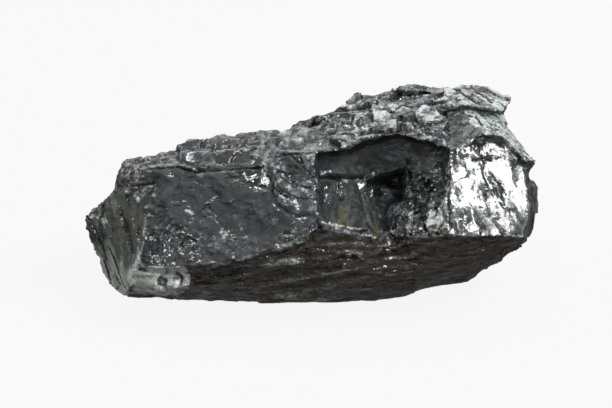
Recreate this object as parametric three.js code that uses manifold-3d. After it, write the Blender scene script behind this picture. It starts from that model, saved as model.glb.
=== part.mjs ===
// Coal lump: one broken piece of hard, bright coal, lying on a flat bedding face.
//
// The lump is laid out in its own "show" frame, which leans back by LEAN from the upright: every point is
// [across, up, out] in millimetres, where out points from the show side towards a person who looks at it.
// The show side and the back are two crusts of flat fracture faces that meet along the outline. The closed
// crust is split into small triangles, roughened, leaned back and sliced flat underneath.
import * as THREE from "three";
import { ConvexHull } from "three/addons/math/ConvexHull.js";
import { TessellateModifier } from "three/addons/modifiers/TessellateModifier.js";
import { mergeGeometries, mergeVertices } from "three/addons/utils/BufferGeometryUtils.js";
import Module from "manifold-3d";

const LEAN = 30; // degrees that the show side leans back from the upright
const BED_HEIGHT = -1.6; // mm, the bedding face that the lump rests on, above the show frame's own zero
const STEP = 2; // mm, the longest step along the outline and the show side's edge lines
const BACK_STEP = 6; // mm, the same on the back
const RAGGED = 0.2; // mm, how far an edge line strays between its corners
const SHOW_TRIANGLE = 4; // mm, the longest triangle edge on the show side
const BACK_TRIANGLE = 6; // mm, the same on the back
const ROUGHNESS = 0.35; // mm, how far the broken surface wanders in and out
const GRAIN = 4.5; // mm, the size of one swell of that roughness

// The outline, clockwise from the left tip, seen from the show side.
const OUTLINE = [
  // left end and the stepped top of the low half
  [-60, 20.5, 2], [-59.3, 22.6, 1], [-57, 24.8, 0], [-55, 27.3, 4], [-52.5, 29.2, 6], [-51.4, 30.8, 8],
  [-51.2, 34, 8], [-50, 37, 7], [-48.5, 38, 6.5], [-44, 38.8, 7], [-39, 39.8, 7], [-35.7, 40.2, 7.5],
  [-34.7, 42, 8], [-30, 43, 8], [-25, 43.7, 7.5], [-20, 43.9, 7], [-13.5, 44.9, 6.5], [-8, 45.2, 6],
  // the rise to the high half and its crest
  [-4.5, 47.2, 1], [0, 49.4, -2], [4, 50.8, -4], [9.5, 52.4, -6], [10.2, 55, -9], [16.5, 55.3, -9],
  [20, 56.8, -9], [24, 57.8, -10], [30, 58, -10], [35.5, 57.2, -8], [40, 57.4, -6], [45, 57.7, -5],
  [49, 57.1, -4], [51.7, 55.2, -2], [53.2, 54, 0],
  // right end
  [51.9, 51.7, 1], [50.8, 49.2, 2], [52, 46, 3], [54.3, 42.8, 4], [57.3, 39.6, 6], [58.9, 38.1, 7],
  [59, 36.8, 8], [57.5, 35.4, 7], [57.4, 33, 5], [59.9, 32.7, 5], [59.4, 28, 5], [58.6, 22, 6],
  [57.6, 18, 6],
  // the belly's lower edge, back to the left
  [55.8, 15.5, 0], [52.5, 13, -5], [49.5, 10.8, -8], [46, 8.3, -10], [43.5, 6.7, -11], [39.5, 5.4, -11],
  [34.5, 4.7, -10], [30, 4, -9], [25, 1.5, -6], [17, 0.5, -5], [8, 0.2, -4], [-2, 0, -4], [-12, 0.2, -4],
  [-22, 0.7, -5], [-33, 0.8, -6], [-39, 1.5, -6], [-46, 1.5, -7], [-50.3, 2, -7], [-53.4, 4.6, -8],
  [-55, 8, -7], [-56.2, 12, -4], [-58.2, 16, 0],
];

// The show side's edges. Each line is walked in short steps, so that the crust folds along it.
const SHOW_EDGES = {
  shelf: [
    [-44.8, 10.3, 20], [-40, 9.3, 22], [-36, 9.8, 23], [-30, 10.2, 24], [-24, 10.9, 24.5], [-18, 11.8, 25],
    [-12, 14, 25], [-6, 15.3, 24.5], [-1, 17.5, 24], [2, 20, 22], [6, 19.7, 22], [11, 18.1, 21.5],
    [17.5, 17.5, 19], [20, 17.8, 14], [24, 18, 19], [30, 17.7, 22.5], [36, 18.3, 24], [43, 18, 21.5],
    [50, 17.9, 18.8], [55, 17.7, 15.6],
  ],
  stripTop: [[-45, 9.2, 16.8], [-40, 8.4, 19.4], [-35, 8.6, 20], [-30, 9.2, 21]],
  bellyUpper: [
    [-46, 5.6, 17], [-40, 4.6, 20.6], [-35, 4.4, 20.8], [-30, 5.2, 20.2], [-25, 6.5, 20], [-15, 7.2, 20], [-5, 8.5, 19],
    [5, 9.5, 18], [15, 10, 17], [25, 10.5, 16], [35, 11.5, 15.5], [44, 12.5, 13], [51, 14.5, 9],
  ],
  bellyLower: [
    [-40, 2.8, 8], [-28, 2.5, 9], [-15, 2.8, 9], [0, 3, 8], [13, 3.5, 7], [25, 5, 5], [35, 7.5, 4],
    [43, 9.5, 2],
  ],
  endScoopRim: [
    [-50, 29.3, 10], [-47, 28, 14], [-44.5, 25.5, 17], [-42.6, 22, 19], [-43, 17, 20], [-44, 13, 20],
    [-44.8, 10.3, 20],
  ],
  endScoopFoot: [[-44.8, 10.3, 20], [-46.6, 6.8, 15], [-48.3, 4, 6], [-50.3, 2, -7]],
  shoulderCorner: [[-47, 36.6, 11], [-45.8, 33.4, 14], [-46, 30.6, 15], [-47, 28, 14]],
  brow: [
    [-47, 36.6, 11], [-42, 35.8, 16], [-38, 36.2, 17], [-34.5, 36.4, 17.5], [-31, 35, 18.5],
    [-28, 34.9, 19], [-22, 35.3, 19], [-16, 36, 19], [-11.5, 36.3, 18.5],
  ],
  browStep: [[-34, 41, 11.5], [-33.5, 37.6, 17]],
  browStepFoot: [[-35.3, 39.5, 9], [-35, 37, 15]],
  blockCrack: [[-11, 39.2, 15.5], [-8, 39, 16], [-4, 39.6, 16.5], [1.2, 39.6, 18]],
  blockCorner: [[1.2, 39.6, 18], [1, 33, 20.3], [1, 28.5, 21.3], [1.4, 24.5, 22], [2, 20, 22]],
  blockFoot: [[2.4, 38.2, 14], [2.2, 31, 17], [2.6, 25, 19.5]],
  recessLip: [
    [1.2, 39.6, 18], [6, 40.2, 17], [10, 41, 16.5], [14, 43, 15.5], [20, 44.5, 15], [25, 44.2, 15.5],
    [30, 43.2, 16], [34, 42.2, 16.5], [36.3, 40.3, 17],
  ],
  recessCeiling: [
    [2.4, 38.2, 14], [8, 38.8, 11.5], [14, 41.2, 10], [20, 42.8, 9.5], [26, 42.6, 10], [31.5, 41.2, 12],
    [34.5, 39.6, 14.5],
  ],
  pitBrow: [[14.5, 32.8, 9.5], [20, 34.4, 8.5], [24.9, 37.2, 9.5]],
  pitRoof: [[15, 31.6, 3], [20, 33.2, -2], [23.8, 35, -1]],
  pitSide: [[24.9, 37.2, 9.5], [25.1, 31, 11.5], [25, 27.2, 12.5], [21.6, 24.6, 11]],
  pitCorner: [[23.8, 35, -1], [24, 31, -2], [23.6, 28, 0], [20.5, 26, 2]],
  mirrorLeft: [[36.3, 40.3, 17], [36, 36, 18], [35, 30, 20], [33.8, 24, 22], [36, 18.3, 24]],
  mirrorTop: [
    [36.3, 40.3, 17], [38.5, 40.9, 15.8], [41.5, 42.8, 14], [44.5, 43.9, 12.6], [47.5, 43.6, 11.6],
    [50, 42, 11], [53, 38.4, 10.8], [56, 35.2, 10.4],
  ],
  mirrorRight: [[56, 35.2, 10.4], [56.2, 29, 12.2], [56.4, 23, 14.2], [55, 17.7, 15.6]],
  cheekEdge: [[39, 51.4, 2], [40.5, 49, 5.5], [42, 47, 9], [43.2, 45.2, 12.2]],
  cheekFoot: [[35.3, 50.6, -0.5], [36, 47, 5], [36.4, 43.2, 10.5]],
  lowerSlabFront: [
    [43.2, 45.2, 12.2], [46, 44.9, 12.4], [49.5, 44.3, 11.8], [51.5, 42.5, 11], [54, 39.8, 10.8],
    [56.8, 37.2, 10.6],
  ],
  lowerSlabBack: [[39, 51.4, 1], [44.5, 50.5, 2], [48.5, 49.7, 3.5]],
  upperSlabFront: [[36.2, 52.2, 1], [40, 52.5, 2.8], [44.3, 51.6, 4.8], [48, 50.8, 6.2], [50.3, 50.4, 5.8]],
};

// The show side's hollows, swells and chips between those edges.
const SHOW_SPOTS = {
  endScoop: [[-48.5, 19, 10], [-53, 20, 5.5], [-50, 12, 9], [-52, 7, 1.5], [-54, 24.5, 5]],
  broadFace: [
    [-40, 30, 18], [-34, 28, 19], [-24, 28, 19.5], [-16, 28, 20], [-37, 19, 20.5], [-28, 19, 21],
    [-18, 20, 21.5], [-9, 22, 22], [-10, 29.5, 20],
  ],
  block: [[-5, 34.5, 18.5], [-4, 29.5, 20.5], [-1, 45, 9.5], [4, 44, 11.5]],
  recessWall: [
    [6, 33.5, 13], [11, 34, 10.5], [16, 36.5, 9.5], [20, 38.5, 9], [30, 37, 12], [33.5, 35, 15],
  ],
  pit: [[17.4, 27, 2], [19, 22.5, 5]],
  ribbedWedge: [[4.5, 26, 18], [9, 26, 16.5], [12.5, 28, 13], [14.5, 22, 17.5]],
  chippedCorner: [
    [22.5, 21.5, 14], [26, 24.5, 15.5], [28.5, 20.8, 20.5], [29.5, 29.5, 14.5], [32, 33, 15.5],
    [31.5, 25.5, 19],
  ],
  mirror: [[43, 36, 15.3], [43, 27, 18.3], [50, 34, 12.9], [50, 25, 15.9]],
  lowerSlab: [[44.5, 48, 6.5], [49.5, 47, 7]],
  crumblyTop: [
    [0.4, 46.4, 7], [3, 49.4, 1], [8.5, 50.6, -1], [14.5, 52, -3], [9, 48, 4.5], [5.5, 46.3, 8],
    [12, 45.6, 10], [15.5, 49, 4], [21, 52, -2], [21.5, 48.2, 6.5], [26.5, 47, 9], [27, 50.8, 1.5],
    [25, 54.2, -5], [31, 53, -3], [31.5, 48.2, 6], [33.4, 45.2, 11], [18, 53.6, -5.5], [12.5, 53.8, -6.5],
  ],
};

// The back's edges: the crest line under the top, a ledge across the middle, the foot that meets the
// ground, and the spurs that run down between them.
const BACK_EDGES = {
  crestLine: [
    [-47, 33, -6], [-38, 36, -8], [-26, 39, -10], [-13, 40, -14], [0, 44, -16], [14, 49, -21],
    [28, 51, -23], [40, 51, -19], [48, 50, -14], [52, 40, -10],
  ],
  ledge: [[-44, 24, -21], [-31, 28, -25], [-15, 30, -30], [-2, 33, -28], [10, 39, -33]],
  foot: [
    [-50, 9, -20], [-38, 14, -30], [-24, 16, -36], [-8, 19, -41], [6, 24, -44], [22, 25, -45],
    [36, 22, -40], [47, 19, -30],
  ],
  leftSpur: [[-38, 36, -8], [-31, 28, -25], [-24, 16, -36]],
  middleSpur: [[14, 49, -21], [10, 39, -33], [6, 24, -44]],
  rightSpur: [[40, 51, -19], [38, 39, -32], [36, 22, -40]],
};

// The back's hollows and swells between those edges.
const BACK_SPOTS = {
  slabTip: [[50.9, 53.3, -6]],
  upperFlank: [[-48, 28, -11], [-20, 35, -17], [4, 41, -21], [26, 45, -28], [48, 42, -20]],
  middleFlank: [
    [-54, 20, -10], [-36, 20, -26], [-12, 25, -33], [-2, 27, -35], [25, 36, -39], [48, 31, -26],
  ],
  endFlank: [[56, 28, -8], [54, 22, -16]],
  bedding: [[-40, 5, -18], [-22, 6, -24], [0, 8, -28], [20, 8, -30], [36, 9, -26], [46, 12, -24]],
};

const degrees = THREE.MathUtils.degToRad;

// Joins points on the [across, up] plane by Delaunay triangles: the underside of the convex hull of the
// same points raised onto a bowl.
function joinPoints(points) {
  const raised = points.map(([across, up]) => new THREE.Vector3(across, up, across * across + up * up));
  const order = new Map(raised.map((point, index) => [point, index]));
  const undersides = new ConvexHull().setFromPoints(raised).faces.filter((face) => face.normal.z < 0);
  return undersides.map((face) =>
    [face.edge.prev, face.edge, face.edge.next].map((edge) => order.get(edge.head().point)),
  );
}

function isInside([x, y], loop) {
  let inside = false;
  loop.forEach(([x1, y1], index) => {
    const [x2, y2] = loop[(index + 1) % loop.length];
    if (y1 > y !== y2 > y && x < x1 + ((x2 - x1) * (y - y1)) / (y2 - y1)) inside = !inside;
  });
  return inside;
}

// A repeatable number from -1 to 1 for each place on a whole or broken grid.
function gridValue(i, j, k) {
  const wave = Math.sin(i * 127.1 + j * 311.7 + k * 74.7) * 43758.5453;
  return 2 * (wave - Math.floor(wave)) - 1;
}

// The points of a line, with more put in between so that no step is longer than the one given. The new
// points stray by up to RAGGED, as a chipped edge does.
function walked(line, longestStep) {
  const path = [line[0]];
  line.slice(1).forEach((end, index) => {
    const start = line[index];
    const count = Math.ceil(Math.hypot(end[0] - start[0], end[1] - start[1]) / longestStep);
    for (let step = 1; step < count; step++) {
      const between = start.map((value, axis) => value + ((end[axis] - value) * step) / count);
      path.push(between.map((value, axis) => value + RAGGED * gridValue(between[0], between[1], axis)));
    }
    path.push(end);
  });
  return path;
}

// The same points once each: edges that meet share their end point.
function withoutRepeats(points) {
  const keyed = points.map((point) => [`${point[0].toFixed(2)} ${point[1].toFixed(2)}`, point]);
  return [...new Map(keyed).values()];
}

// One side's crust as a run of triangle corners, facing out on the show side and back on the other.
function crustCorners(edges, spots, facing) {
  const rim = walked([...OUTLINE, OUTLINE[0]], STEP);
  const lines = Object.values(edges).map((line) => walked(line, facing > 0 ? STEP : BACK_STEP));
  const inner = [...lines.flat(), ...Object.values(spots).flat()];
  const points = withoutRepeats([...inner, ...rim]);
  const corners = [];
  for (const triangle of joinPoints(points)) {
    const [a, b, c] = triangle.map((index) => points[index]);
    const middle = [(a[0] + b[0] + c[0]) / 3, (a[1] + b[1] + c[1]) / 3];
    if (!isInside(middle, rim)) continue;
    const turn = (b[0] - a[0]) * (c[1] - a[1]) - (b[1] - a[1]) * (c[0] - a[0]);
    corners.push(...(turn * facing > 0 ? [a, b, c] : [a, c, b]));
  }
  return corners;
}

// Smooth noise: the grid's values blended between its places.
function swell(point) {
  const cell = point.clone().divideScalar(GRAIN);
  const base = cell.clone().floor();
  const share = cell.sub(base).toArray().map((t) => t * t * (3 - 2 * t));
  let sum = 0;
  for (let corner = 0; corner < 8; corner++) {
    const step = [corner & 1, (corner >> 1) & 1, corner >> 2];
    const weight = step.reduce((product, s, axis) => product * (s ? share[axis] : 1 - share[axis]), 1);
    sum += weight * gridValue(base.x + step[0], base.y + step[1], base.z + step[2]);
  }
  return sum;
}

function geometryOf(corners) {
  const geometry = new THREE.BufferGeometry();
  return geometry.setAttribute("position", new THREE.Float32BufferAttribute(corners.flat(), 3));
}

function splitTriangles(geometry, longestEdge) {
  const rounds = 12; // enough for the widest face to reach the longest edge allowed
  return new TessellateModifier(longestEdge, rounds).modify(geometry);
}

function roughened(crust) {
  crust.computeVertexNormals();
  const { position, normal } = crust.attributes;
  const point = new THREE.Vector3();
  const outward = new THREE.Vector3();
  for (let index = 0; index < position.count; index++) {
    point.fromBufferAttribute(position, index);
    outward.fromBufferAttribute(normal, index);
    point.addScaledVector(outward, ROUGHNESS * swell(point));
    position.setXYZ(index, point.x, point.y, point.z);
  }
  crust.deleteAttribute("normal");
  return crust;
}

function solidFrom(wasm, geometry) {
  const merged = mergeVertices(geometry, 1e-4);
  return new wasm.Manifold(
    new wasm.Mesh({
      numProp: 3,
      vertProperties: merged.attributes.position.array,
      triVerts: new Uint32Array(merged.index.array),
    }),
  );
}

function geometryFrom(solid) {
  const mesh = solid.getMesh();
  const geometry = new THREE.BufferGeometry();
  geometry.setAttribute("position", new THREE.BufferAttribute(mesh.vertProperties, 3));
  return geometry.setIndex(new THREE.BufferAttribute(mesh.triVerts, 1));
}

// Everything below the bedding face, as one block to cut away.
function groundBlock() {
  const size = 400;
  const block = new THREE.BoxGeometry(size, size, size).translate(0, 0, BED_HEIGHT - size / 2);
  block.deleteAttribute("normal");
  block.deleteAttribute("uv");
  return block;
}

function lumpGeometry(wasm) {
  const show = splitTriangles(geometryOf(crustCorners(SHOW_EDGES, SHOW_SPOTS, 1)), SHOW_TRIANGLE);
  const back = splitTriangles(geometryOf(crustCorners(BACK_EDGES, BACK_SPOTS, -1)), BACK_TRIANGLE);
  const crust = roughened(mergeVertices(mergeGeometries([show, back]), 1e-4));
  crust.rotateX(degrees(90 - LEAN));
  const geometry = geometryFrom(solidFrom(wasm, crust).subtract(solidFrom(wasm, groundBlock())));
  geometry.computeBoundingBox();
  const { min, max } = geometry.boundingBox;
  return geometry.translate(-(min.x + max.x) / 2, -(min.y + max.y) / 2, -min.z);
}

const wasm = await Module();
wasm.setup();

const coal = new THREE.MeshStandardMaterial({ color: 0x17191b, roughness: 0.35, metalness: 0 });
const lump = new THREE.Mesh(lumpGeometry(wasm), coal);
lump.name = "coal_lump";

const part = new THREE.Group();
part.add(lump);

export default part;
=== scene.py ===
"""One lump of hard, bright coal: its fracture faces, chips, cracks and finish, in a plain studio."""

import logging
import math
from collections.abc import Iterator
from dataclasses import dataclass, field
from enum import Enum, IntEnum
from itertools import product

import bpy
import numpy as np
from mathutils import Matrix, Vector


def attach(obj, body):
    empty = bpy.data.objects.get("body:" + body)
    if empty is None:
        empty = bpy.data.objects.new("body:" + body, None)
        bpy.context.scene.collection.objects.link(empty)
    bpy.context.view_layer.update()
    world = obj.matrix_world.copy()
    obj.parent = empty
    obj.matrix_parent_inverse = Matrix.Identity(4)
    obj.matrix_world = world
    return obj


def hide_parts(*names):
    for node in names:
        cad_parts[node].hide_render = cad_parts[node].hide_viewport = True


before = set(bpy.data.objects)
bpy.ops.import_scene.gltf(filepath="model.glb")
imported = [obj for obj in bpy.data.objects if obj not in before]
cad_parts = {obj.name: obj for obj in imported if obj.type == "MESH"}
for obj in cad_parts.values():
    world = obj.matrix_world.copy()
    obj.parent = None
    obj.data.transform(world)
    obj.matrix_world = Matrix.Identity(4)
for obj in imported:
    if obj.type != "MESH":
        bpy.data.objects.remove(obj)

log = logging.getLogger("coal_lump")

Point2 = tuple[float, float]
Point3 = tuple[float, float, float]
Colour = tuple[float, float, float, float]
Outline = tuple[Point2, ...]  # [across, up] places in order


# ---- Places and directions ----


@dataclass(frozen=True)
class ShowFrame:
    """The lump's own [across, up, out] millimetres, which lean back from the upright.

    Out points away from the show side, square to its view.
    """

    lean: float = 30.0  # degrees
    shift: Point3 = (0.0914, -18.035, 1.6)  # mm, world place of the show frame's zero

    def axes(self) -> np.ndarray:
        """Returns the world directions of across, up and out, one per row."""
        sine, cosine = math.sin(math.radians(self.lean)), math.cos(math.radians(self.lean))
        return np.array([[1, 0, 0], [0, sine, cosine], [0, -cosine, sine]])

    def from_world(self, points: np.ndarray) -> np.ndarray:
        """Turns world points in metres into show points.

        Args:
            points: rows of world points.

        Returns:
            Rows of [across, up, out] in millimetres.
        """
        return (points * 1000.0 - np.array(self.shift)) @ self.axes().T

    def to_world(self, points: np.ndarray) -> np.ndarray:
        """Turns show points into world points in metres.

        Args:
            points: rows of [across, up, out] in millimetres.

        Returns:
            Rows of world points.
        """
        return (points @ self.axes() + np.array(self.shift)) / 1000.0


SHOW = ShowFrame()


# ---- Repeatable noise ----


def hashed(cells: np.ndarray, seed: int) -> np.ndarray:
    """Gives a repeatable number to each whole-number cell.

    Args:
        cells: rows of three whole numbers.
        seed: which of many such sets of numbers.

    Returns:
        One number from 0 to 1 per row.
    """
    # The large odd numbers do nothing but mix the bits well.
    mixed = cells[:, 0] * 73856093 ^ cells[:, 1] * 19349663 ^ cells[:, 2] * 83492791 ^ seed * 2654435761
    mixed = (mixed ^ (mixed >> 15)) * 2246822519 & 0xFFFFFFFF
    mixed = (mixed ^ (mixed >> 13)) * 3266489917 & 0xFFFFFFFF
    return ((mixed ^ (mixed >> 16)) & 0xFFFFFF) / float(0xFFFFFF)


def hashed_rows(cells: np.ndarray, seed: int) -> np.ndarray:
    """Gives three repeatable numbers from 0 to 1 to each whole-number cell."""
    return np.stack([hashed(cells, seed + axis) for axis in (1, 2, 3)], axis=1)


def swell(points: np.ndarray, size: float, seed: int) -> np.ndarray:
    """Smooth noise.

    Args:
        points: rows of points in millimetres.
        size: the width of one swell, in millimetres.
        seed: which noise.

    Returns:
        One number from -1 to 1 per row.
    """
    scaled = points / size
    base = np.floor(scaled).astype(np.int64)
    share = scaled - base
    share = share * share * (3 - 2 * share)
    total = np.zeros(len(points))
    for step in product((0, 1), repeat=3):
        weight = np.prod(np.where(np.array(step) == 1, share, 1 - share), axis=1)
        total += weight * hashed(base + np.array(step), seed)
    return 2 * total - 1


def rough(points: np.ndarray, size: float, seed: int, octaves: int = 3) -> np.ndarray:
    """Layered noise, each layer half the size and half the height of the one before.

    Args:
        points: rows of points in millimetres.
        size: the width of the widest swell.
        seed: which noise.
        octaves: how many layers.

    Returns:
        One number, about -1 to 1, per row.
    """
    usual_reach = 1.6
    total = np.zeros(len(points))
    for octave in range(octaves):
        total += swell(points, size / 2**octave, seed + 17 * octave) / 2**octave
    return total / usual_reach


def stray(points: np.ndarray, size: float, seed: int) -> np.ndarray:
    """Returns rows of [across, up] noise, which make an outline or a line wander."""
    return np.stack([rough(points, size, seed), rough(points, size, seed + 1)], axis=1)


NEIGHBOURS = tuple(np.array(step) for step in product((-1, 0, 1), repeat=3))  # of a cell, and itself


@dataclass
class Cells:
    """The flake that each point belongs to, in a pattern of irregular cells.

    Attributes:
        centre: rows of the flakes' middle points, in cell units.
        key: rows of the flakes' whole-number names.
        border: how far each point lies from its flake's border, 0 on it.
    """

    centre: np.ndarray
    key: np.ndarray
    border: np.ndarray


def find_cells(points: np.ndarray, seed: int) -> Cells:
    """Finds the irregular cell that each point lies in.

    Args:
        points: rows of points, in units of one cell.
        seed: which pattern.

    Returns:
        The cells.
    """
    base = np.floor(points).astype(np.int64)
    nearest = np.full(len(points), 1e9)
    second = nearest.copy()
    centre = np.zeros_like(points)
    key = np.zeros_like(base)
    for step in NEIGHBOURS:
        cell = base + step
        site = cell + hashed_rows(cell, seed)
        distance = ((site - points) ** 2).sum(axis=1)
        closer = distance < nearest
        second = np.where(closer, nearest, np.minimum(second, distance))
        nearest = np.where(closer, distance, nearest)
        centre[closer] = site[closer]
        key[closer] = cell[closer]
    return Cells(centre, key, np.sqrt(second) - np.sqrt(nearest))


def turned(points: np.ndarray, turn: float) -> np.ndarray:
    """Turns show points so that their first axis runs along the grain.

    Args:
        points: rows of show points.
        turn: degrees from across towards up.

    Returns:
        Rows of [along the grain, athwart it, out].
    """
    angle = math.radians(turn)
    along = points[:, 0] * math.cos(angle) + points[:, 1] * math.sin(angle)
    athwart = points[:, 1] * math.cos(angle) - points[:, 0] * math.sin(angle)
    return np.stack([along, athwart, points[:, 2]], axis=1)


def ramp(value: np.ndarray, low: float, high: float) -> np.ndarray:
    """Returns 0 below low, 1 above high and a smooth rise between them."""
    share = np.clip((value - low) / (high - low), 0, 1)
    return share * share * (3 - 2 * share)


# ---- How coal breaks ----


@dataclass(frozen=True)
class Flaking:
    """One layer of flat flakes that a face has broken into.

    Attributes:
        size: mm, a flake's length, width and depth along the grain.
        turn: degrees, how the grain is turned from across towards up.
        tilt: slope, how far flakes lean from the face.
        step: mm, how far flakes stand above or below each other.
        seed: which pattern.
    """

    size: Point3
    turn: float = 0.0
    tilt: float = 0.1
    step: float = 0.1
    seed: int = 1

    def heights(self, points: np.ndarray) -> np.ndarray:
        """Gives the layer's height.

        Args:
            points: rows of show points.

        Returns:
            Millimetres for each point.
        """
        local = turned(points, self.turn) / np.array(self.size)
        cells = find_cells(local, self.seed)
        lean = hashed_rows(cells.key, self.seed + 4) - 0.5
        lean /= np.linalg.norm(lean, axis=1)[:, None] + 1e-9
        away = (local - cells.centre) * np.array(self.size)
        height = self.tilt * (lean * away).sum(axis=1)
        return height + self.step * (2 * hashed(cells.key, self.seed + 11) - 1)

    def shades(self, points: np.ndarray) -> np.ndarray:
        """Gives how pale each flake is, with painted shade as dark gaps between flakes.

        Args:
            points: rows of show points.

        Returns:
            One number from 0 to 1 for each point.
        """
        cells = find_cells(turned(points, self.turn) / np.array(self.size), self.seed)
        darkest = 0.25
        pale = darkest + (1 - darkest) * hashed(cells.key, self.seed + 21)
        # Painted shade: the paleness falls to 0 at the flake borders, which darkens the gaps between
        # flakes.
        return pale * ramp(cells.border, 0.01, 0.12)


@dataclass(frozen=True)
class Scars:
    """One layer of shallow hollows that meet in sharp ridges, as shell-like breaks do.

    Attributes:
        size: mm, a hollow's length, width and depth along the grain.
        turn: degrees, how the grain is turned from across towards up.
        hollow: mm, how far a hollow sinks over its own width.
        tilt: slope, how far hollows lean from the face.
        step: mm, how far hollows lie above or below each other.
        seed: which pattern.
    """

    size: Point3
    turn: float = 0.0
    hollow: float = 0.5
    tilt: float = 0.05
    step: float = 0.1
    seed: int = 1

    def heights(self, points: np.ndarray) -> np.ndarray:
        """Gives the layer's height.

        Args:
            points: rows of show points.

        Returns:
            Millimetres for each point, 0 on average.
        """
        size = np.array(self.size)
        local = turned(points, self.turn) / size
        bend, bend_size = 0.16, 0.7  # of a hollow: how far its ridges wander, and how quickly
        wander = [swell(local, bend_size, self.seed + axis) for axis in (31, 32, 33)]
        local = local + bend * np.stack(wander, axis=1)
        base = np.floor(local).astype(np.int64)
        lowest = np.full(len(points), 1e9)
        for step in NEIGHBOURS:
            cell = base + step
            site = cell + hashed_rows(cell, self.seed)
            away = local - site
            height = self.hollow * (away * away).sum(axis=1)
            for axis in (0, 1):
                lean = 2 * hashed(cell, self.seed + 5 + axis) - 1
                height += self.tilt * lean * away[:, axis] * size[axis]
            height += self.step * (2 * hashed(cell, self.seed + 11) - 1)
            lowest = np.minimum(lowest, height)
        return lowest - lowest.mean()


class Gloss(Enum):
    """How brightly a break shines, from 0 for dull to 1 for a mirror."""

    MIRROR = 1.0
    BRIGHT = 0.8
    SATIN = 0.55
    DULL = 0.3
    MATT = 0.1


class Coat(IntEnum):
    """The column of a point's paint that each thing is kept in. Three columns make one colour layer."""

    GLOSS = 0
    # pale mineral film, which is also painted sheen and highlight
    FILM = 1
    WARM = 2
    GREEN = 3
    RUST = 4
    HEAT = 5
    GRIT = 6
    FACETS = 7
    UPRIGHT = 8


@dataclass(frozen=True)
class Finish:
    """What a face is painted with, mostly from 0 to 1.

    Attributes:
        gloss: how brightly it shines.
        film_and_sheen: pale grey mineral film, also painted sheen; past 1 it is thick and fills the hollows
            too.
        warm: warm brown-black tint.
        green: grey-green tint.
        grit: how strongly the finest grains stand out.
        facets: how strongly the small flat facets lean.
        upright: 0 where the facets lie along the bedding, 1 where they stand across it.
        streak: degrees, the way that the film's streaks run, from across towards up.
        length: mm, of a streak.
        width: mm, of a streak.
        cover: the part of the face that the streaks cover.
    """

    gloss: Gloss = Gloss.SATIN
    film_and_sheen: float = 0.0
    warm: float = 0.0
    green: float = 0.0
    grit: float = 0.5
    facets: float = 0.5
    upright: float = 0.0
    streak: float = 0.0
    length: float = 3.0
    width: float = 1.0
    cover: float = 0.5

    def levels(self, points: np.ndarray) -> np.ndarray:
        """Gives the paint of each point, streaked along the grain.

        Args:
            points: rows of show points.

        Returns:
            One row per point and one column per coat.
        """
        local = turned(points, self.streak) / np.array((self.length, self.width, self.width))
        streaks = rough(local, 1.0, 211, 3)
        patches = ramp(streaks, 0.15 - self.cover, 0.75 - self.cover)
        # The streaks hold most of the film, shine less and stand rougher than what lies between them.
        levels = np.zeros((len(points), len(Coat)))
        levels[:, Coat.GLOSS] = self.gloss.value - 0.22 * patches
        levels[:, Coat.FILM] = self.film_and_sheen * (0.15 + 1.7 * patches)
        levels[:, Coat.WARM] = self.warm
        levels[:, Coat.GREEN] = self.green
        levels[:, Coat.GRIT] = self.grit * (0.7 + 0.6 * patches)
        levels[:, Coat.FACETS] = self.facets
        levels[:, Coat.UPRIGHT] = self.upright
        return levels


@dataclass(frozen=True)
class Face:
    """A face of the lump's show side with its own way of breaking.

    Attributes:
        corners: its outline as [across, up], in order.
        layers: its hollows and flakes.
        finish: its finish.
        soft: mm, how far it fades into its neighbours.
        eased: how many passes smooth the solid underneath.
    """

    corners: Outline
    layers: tuple[Flaking | Scars, ...]
    finish: Finish
    soft: float = 0.3
    eased: int = 0

    def share(self, points: np.ndarray) -> np.ndarray:
        """Gives 1 well inside the outline, 0 well outside and a ragged edge between."""
        ragged = points[:, :2] + 0.5 * stray(points, 2.0, 91)
        return ramp(signed_distance(ragged, self.corners), -self.soft, self.soft)

    def shades(self, points: np.ndarray) -> np.ndarray:
        """Gives how much paler or darker than the face each flake is, 1 where it is neither, with painted
        shade in the gaps.
        """
        layers = [layer for layer in self.layers if isinstance(layer, Flaking)]
        return np.prod([0.25 + 1.4 * layer.shades(points) for layer in layers], axis=0)

    def easing(self, points: np.ndarray) -> np.ndarray:
        """Gives how many passes smooth each point: none near the outline, whose edge stays crisp."""
        return self.eased * ramp(signed_distance(points[:, :2], self.corners), 0.4, 2.0)


def signed_distance(points: np.ndarray, corners: Outline) -> np.ndarray:
    """Measures how deep each point lies in an outline.

    Args:
        points: rows of [across, up].
        corners: the outline's corners in order.

    Returns:
        The distance to the outline, above 0 inside and below 0 outside.
    """
    nearest = line_distance(points, corners + corners[:1])
    inside = np.zeros(len(points), dtype=bool)
    for (x1, y1), (x2, y2) in zip(corners, corners[1:] + corners[:1]):
        if y1 != y2:
            crossing = x1 + (x2 - x1) * (points[:, 1] - y1) / (y2 - y1)
            inside ^= ((y1 > points[:, 1]) != (y2 > points[:, 1])) & (points[:, 0] < crossing)
    return np.where(inside, nearest, -nearest)


def segment_distance(points: np.ndarray, start: Point2, end: Point2) -> np.ndarray:
    """Measures how far each point lies from a straight line between two places.

    Args:
        points: rows of [across, up].
        start: one end of the line.
        end: its other end.

    Returns:
        Millimetres for each point.
    """
    first, along = np.array(start), np.array(end) - np.array(start)
    share = np.clip(((points - first) @ along) / (along @ along + 1e-9), 0, 1)
    return np.linalg.norm(points - first - share[:, None] * along, axis=1)


def line_distance(points: np.ndarray, line: Outline) -> np.ndarray:
    """Measures how far each [across, up] point lies from the nearest stretch of a line."""
    return np.min([segment_distance(points, start, end) for start, end in zip(line, line[1:])], axis=0)


def close_by(points: np.ndarray, places: Outline, margin: float) -> np.ndarray:
    """Tells which show points lie in the box round some places, with a margin in millimetres."""
    low, high = np.min(places, axis=0) - margin, np.max(places, axis=0) + margin
    return ((points[:, :2] > low) & (points[:, :2] < high)).all(axis=1)


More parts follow.
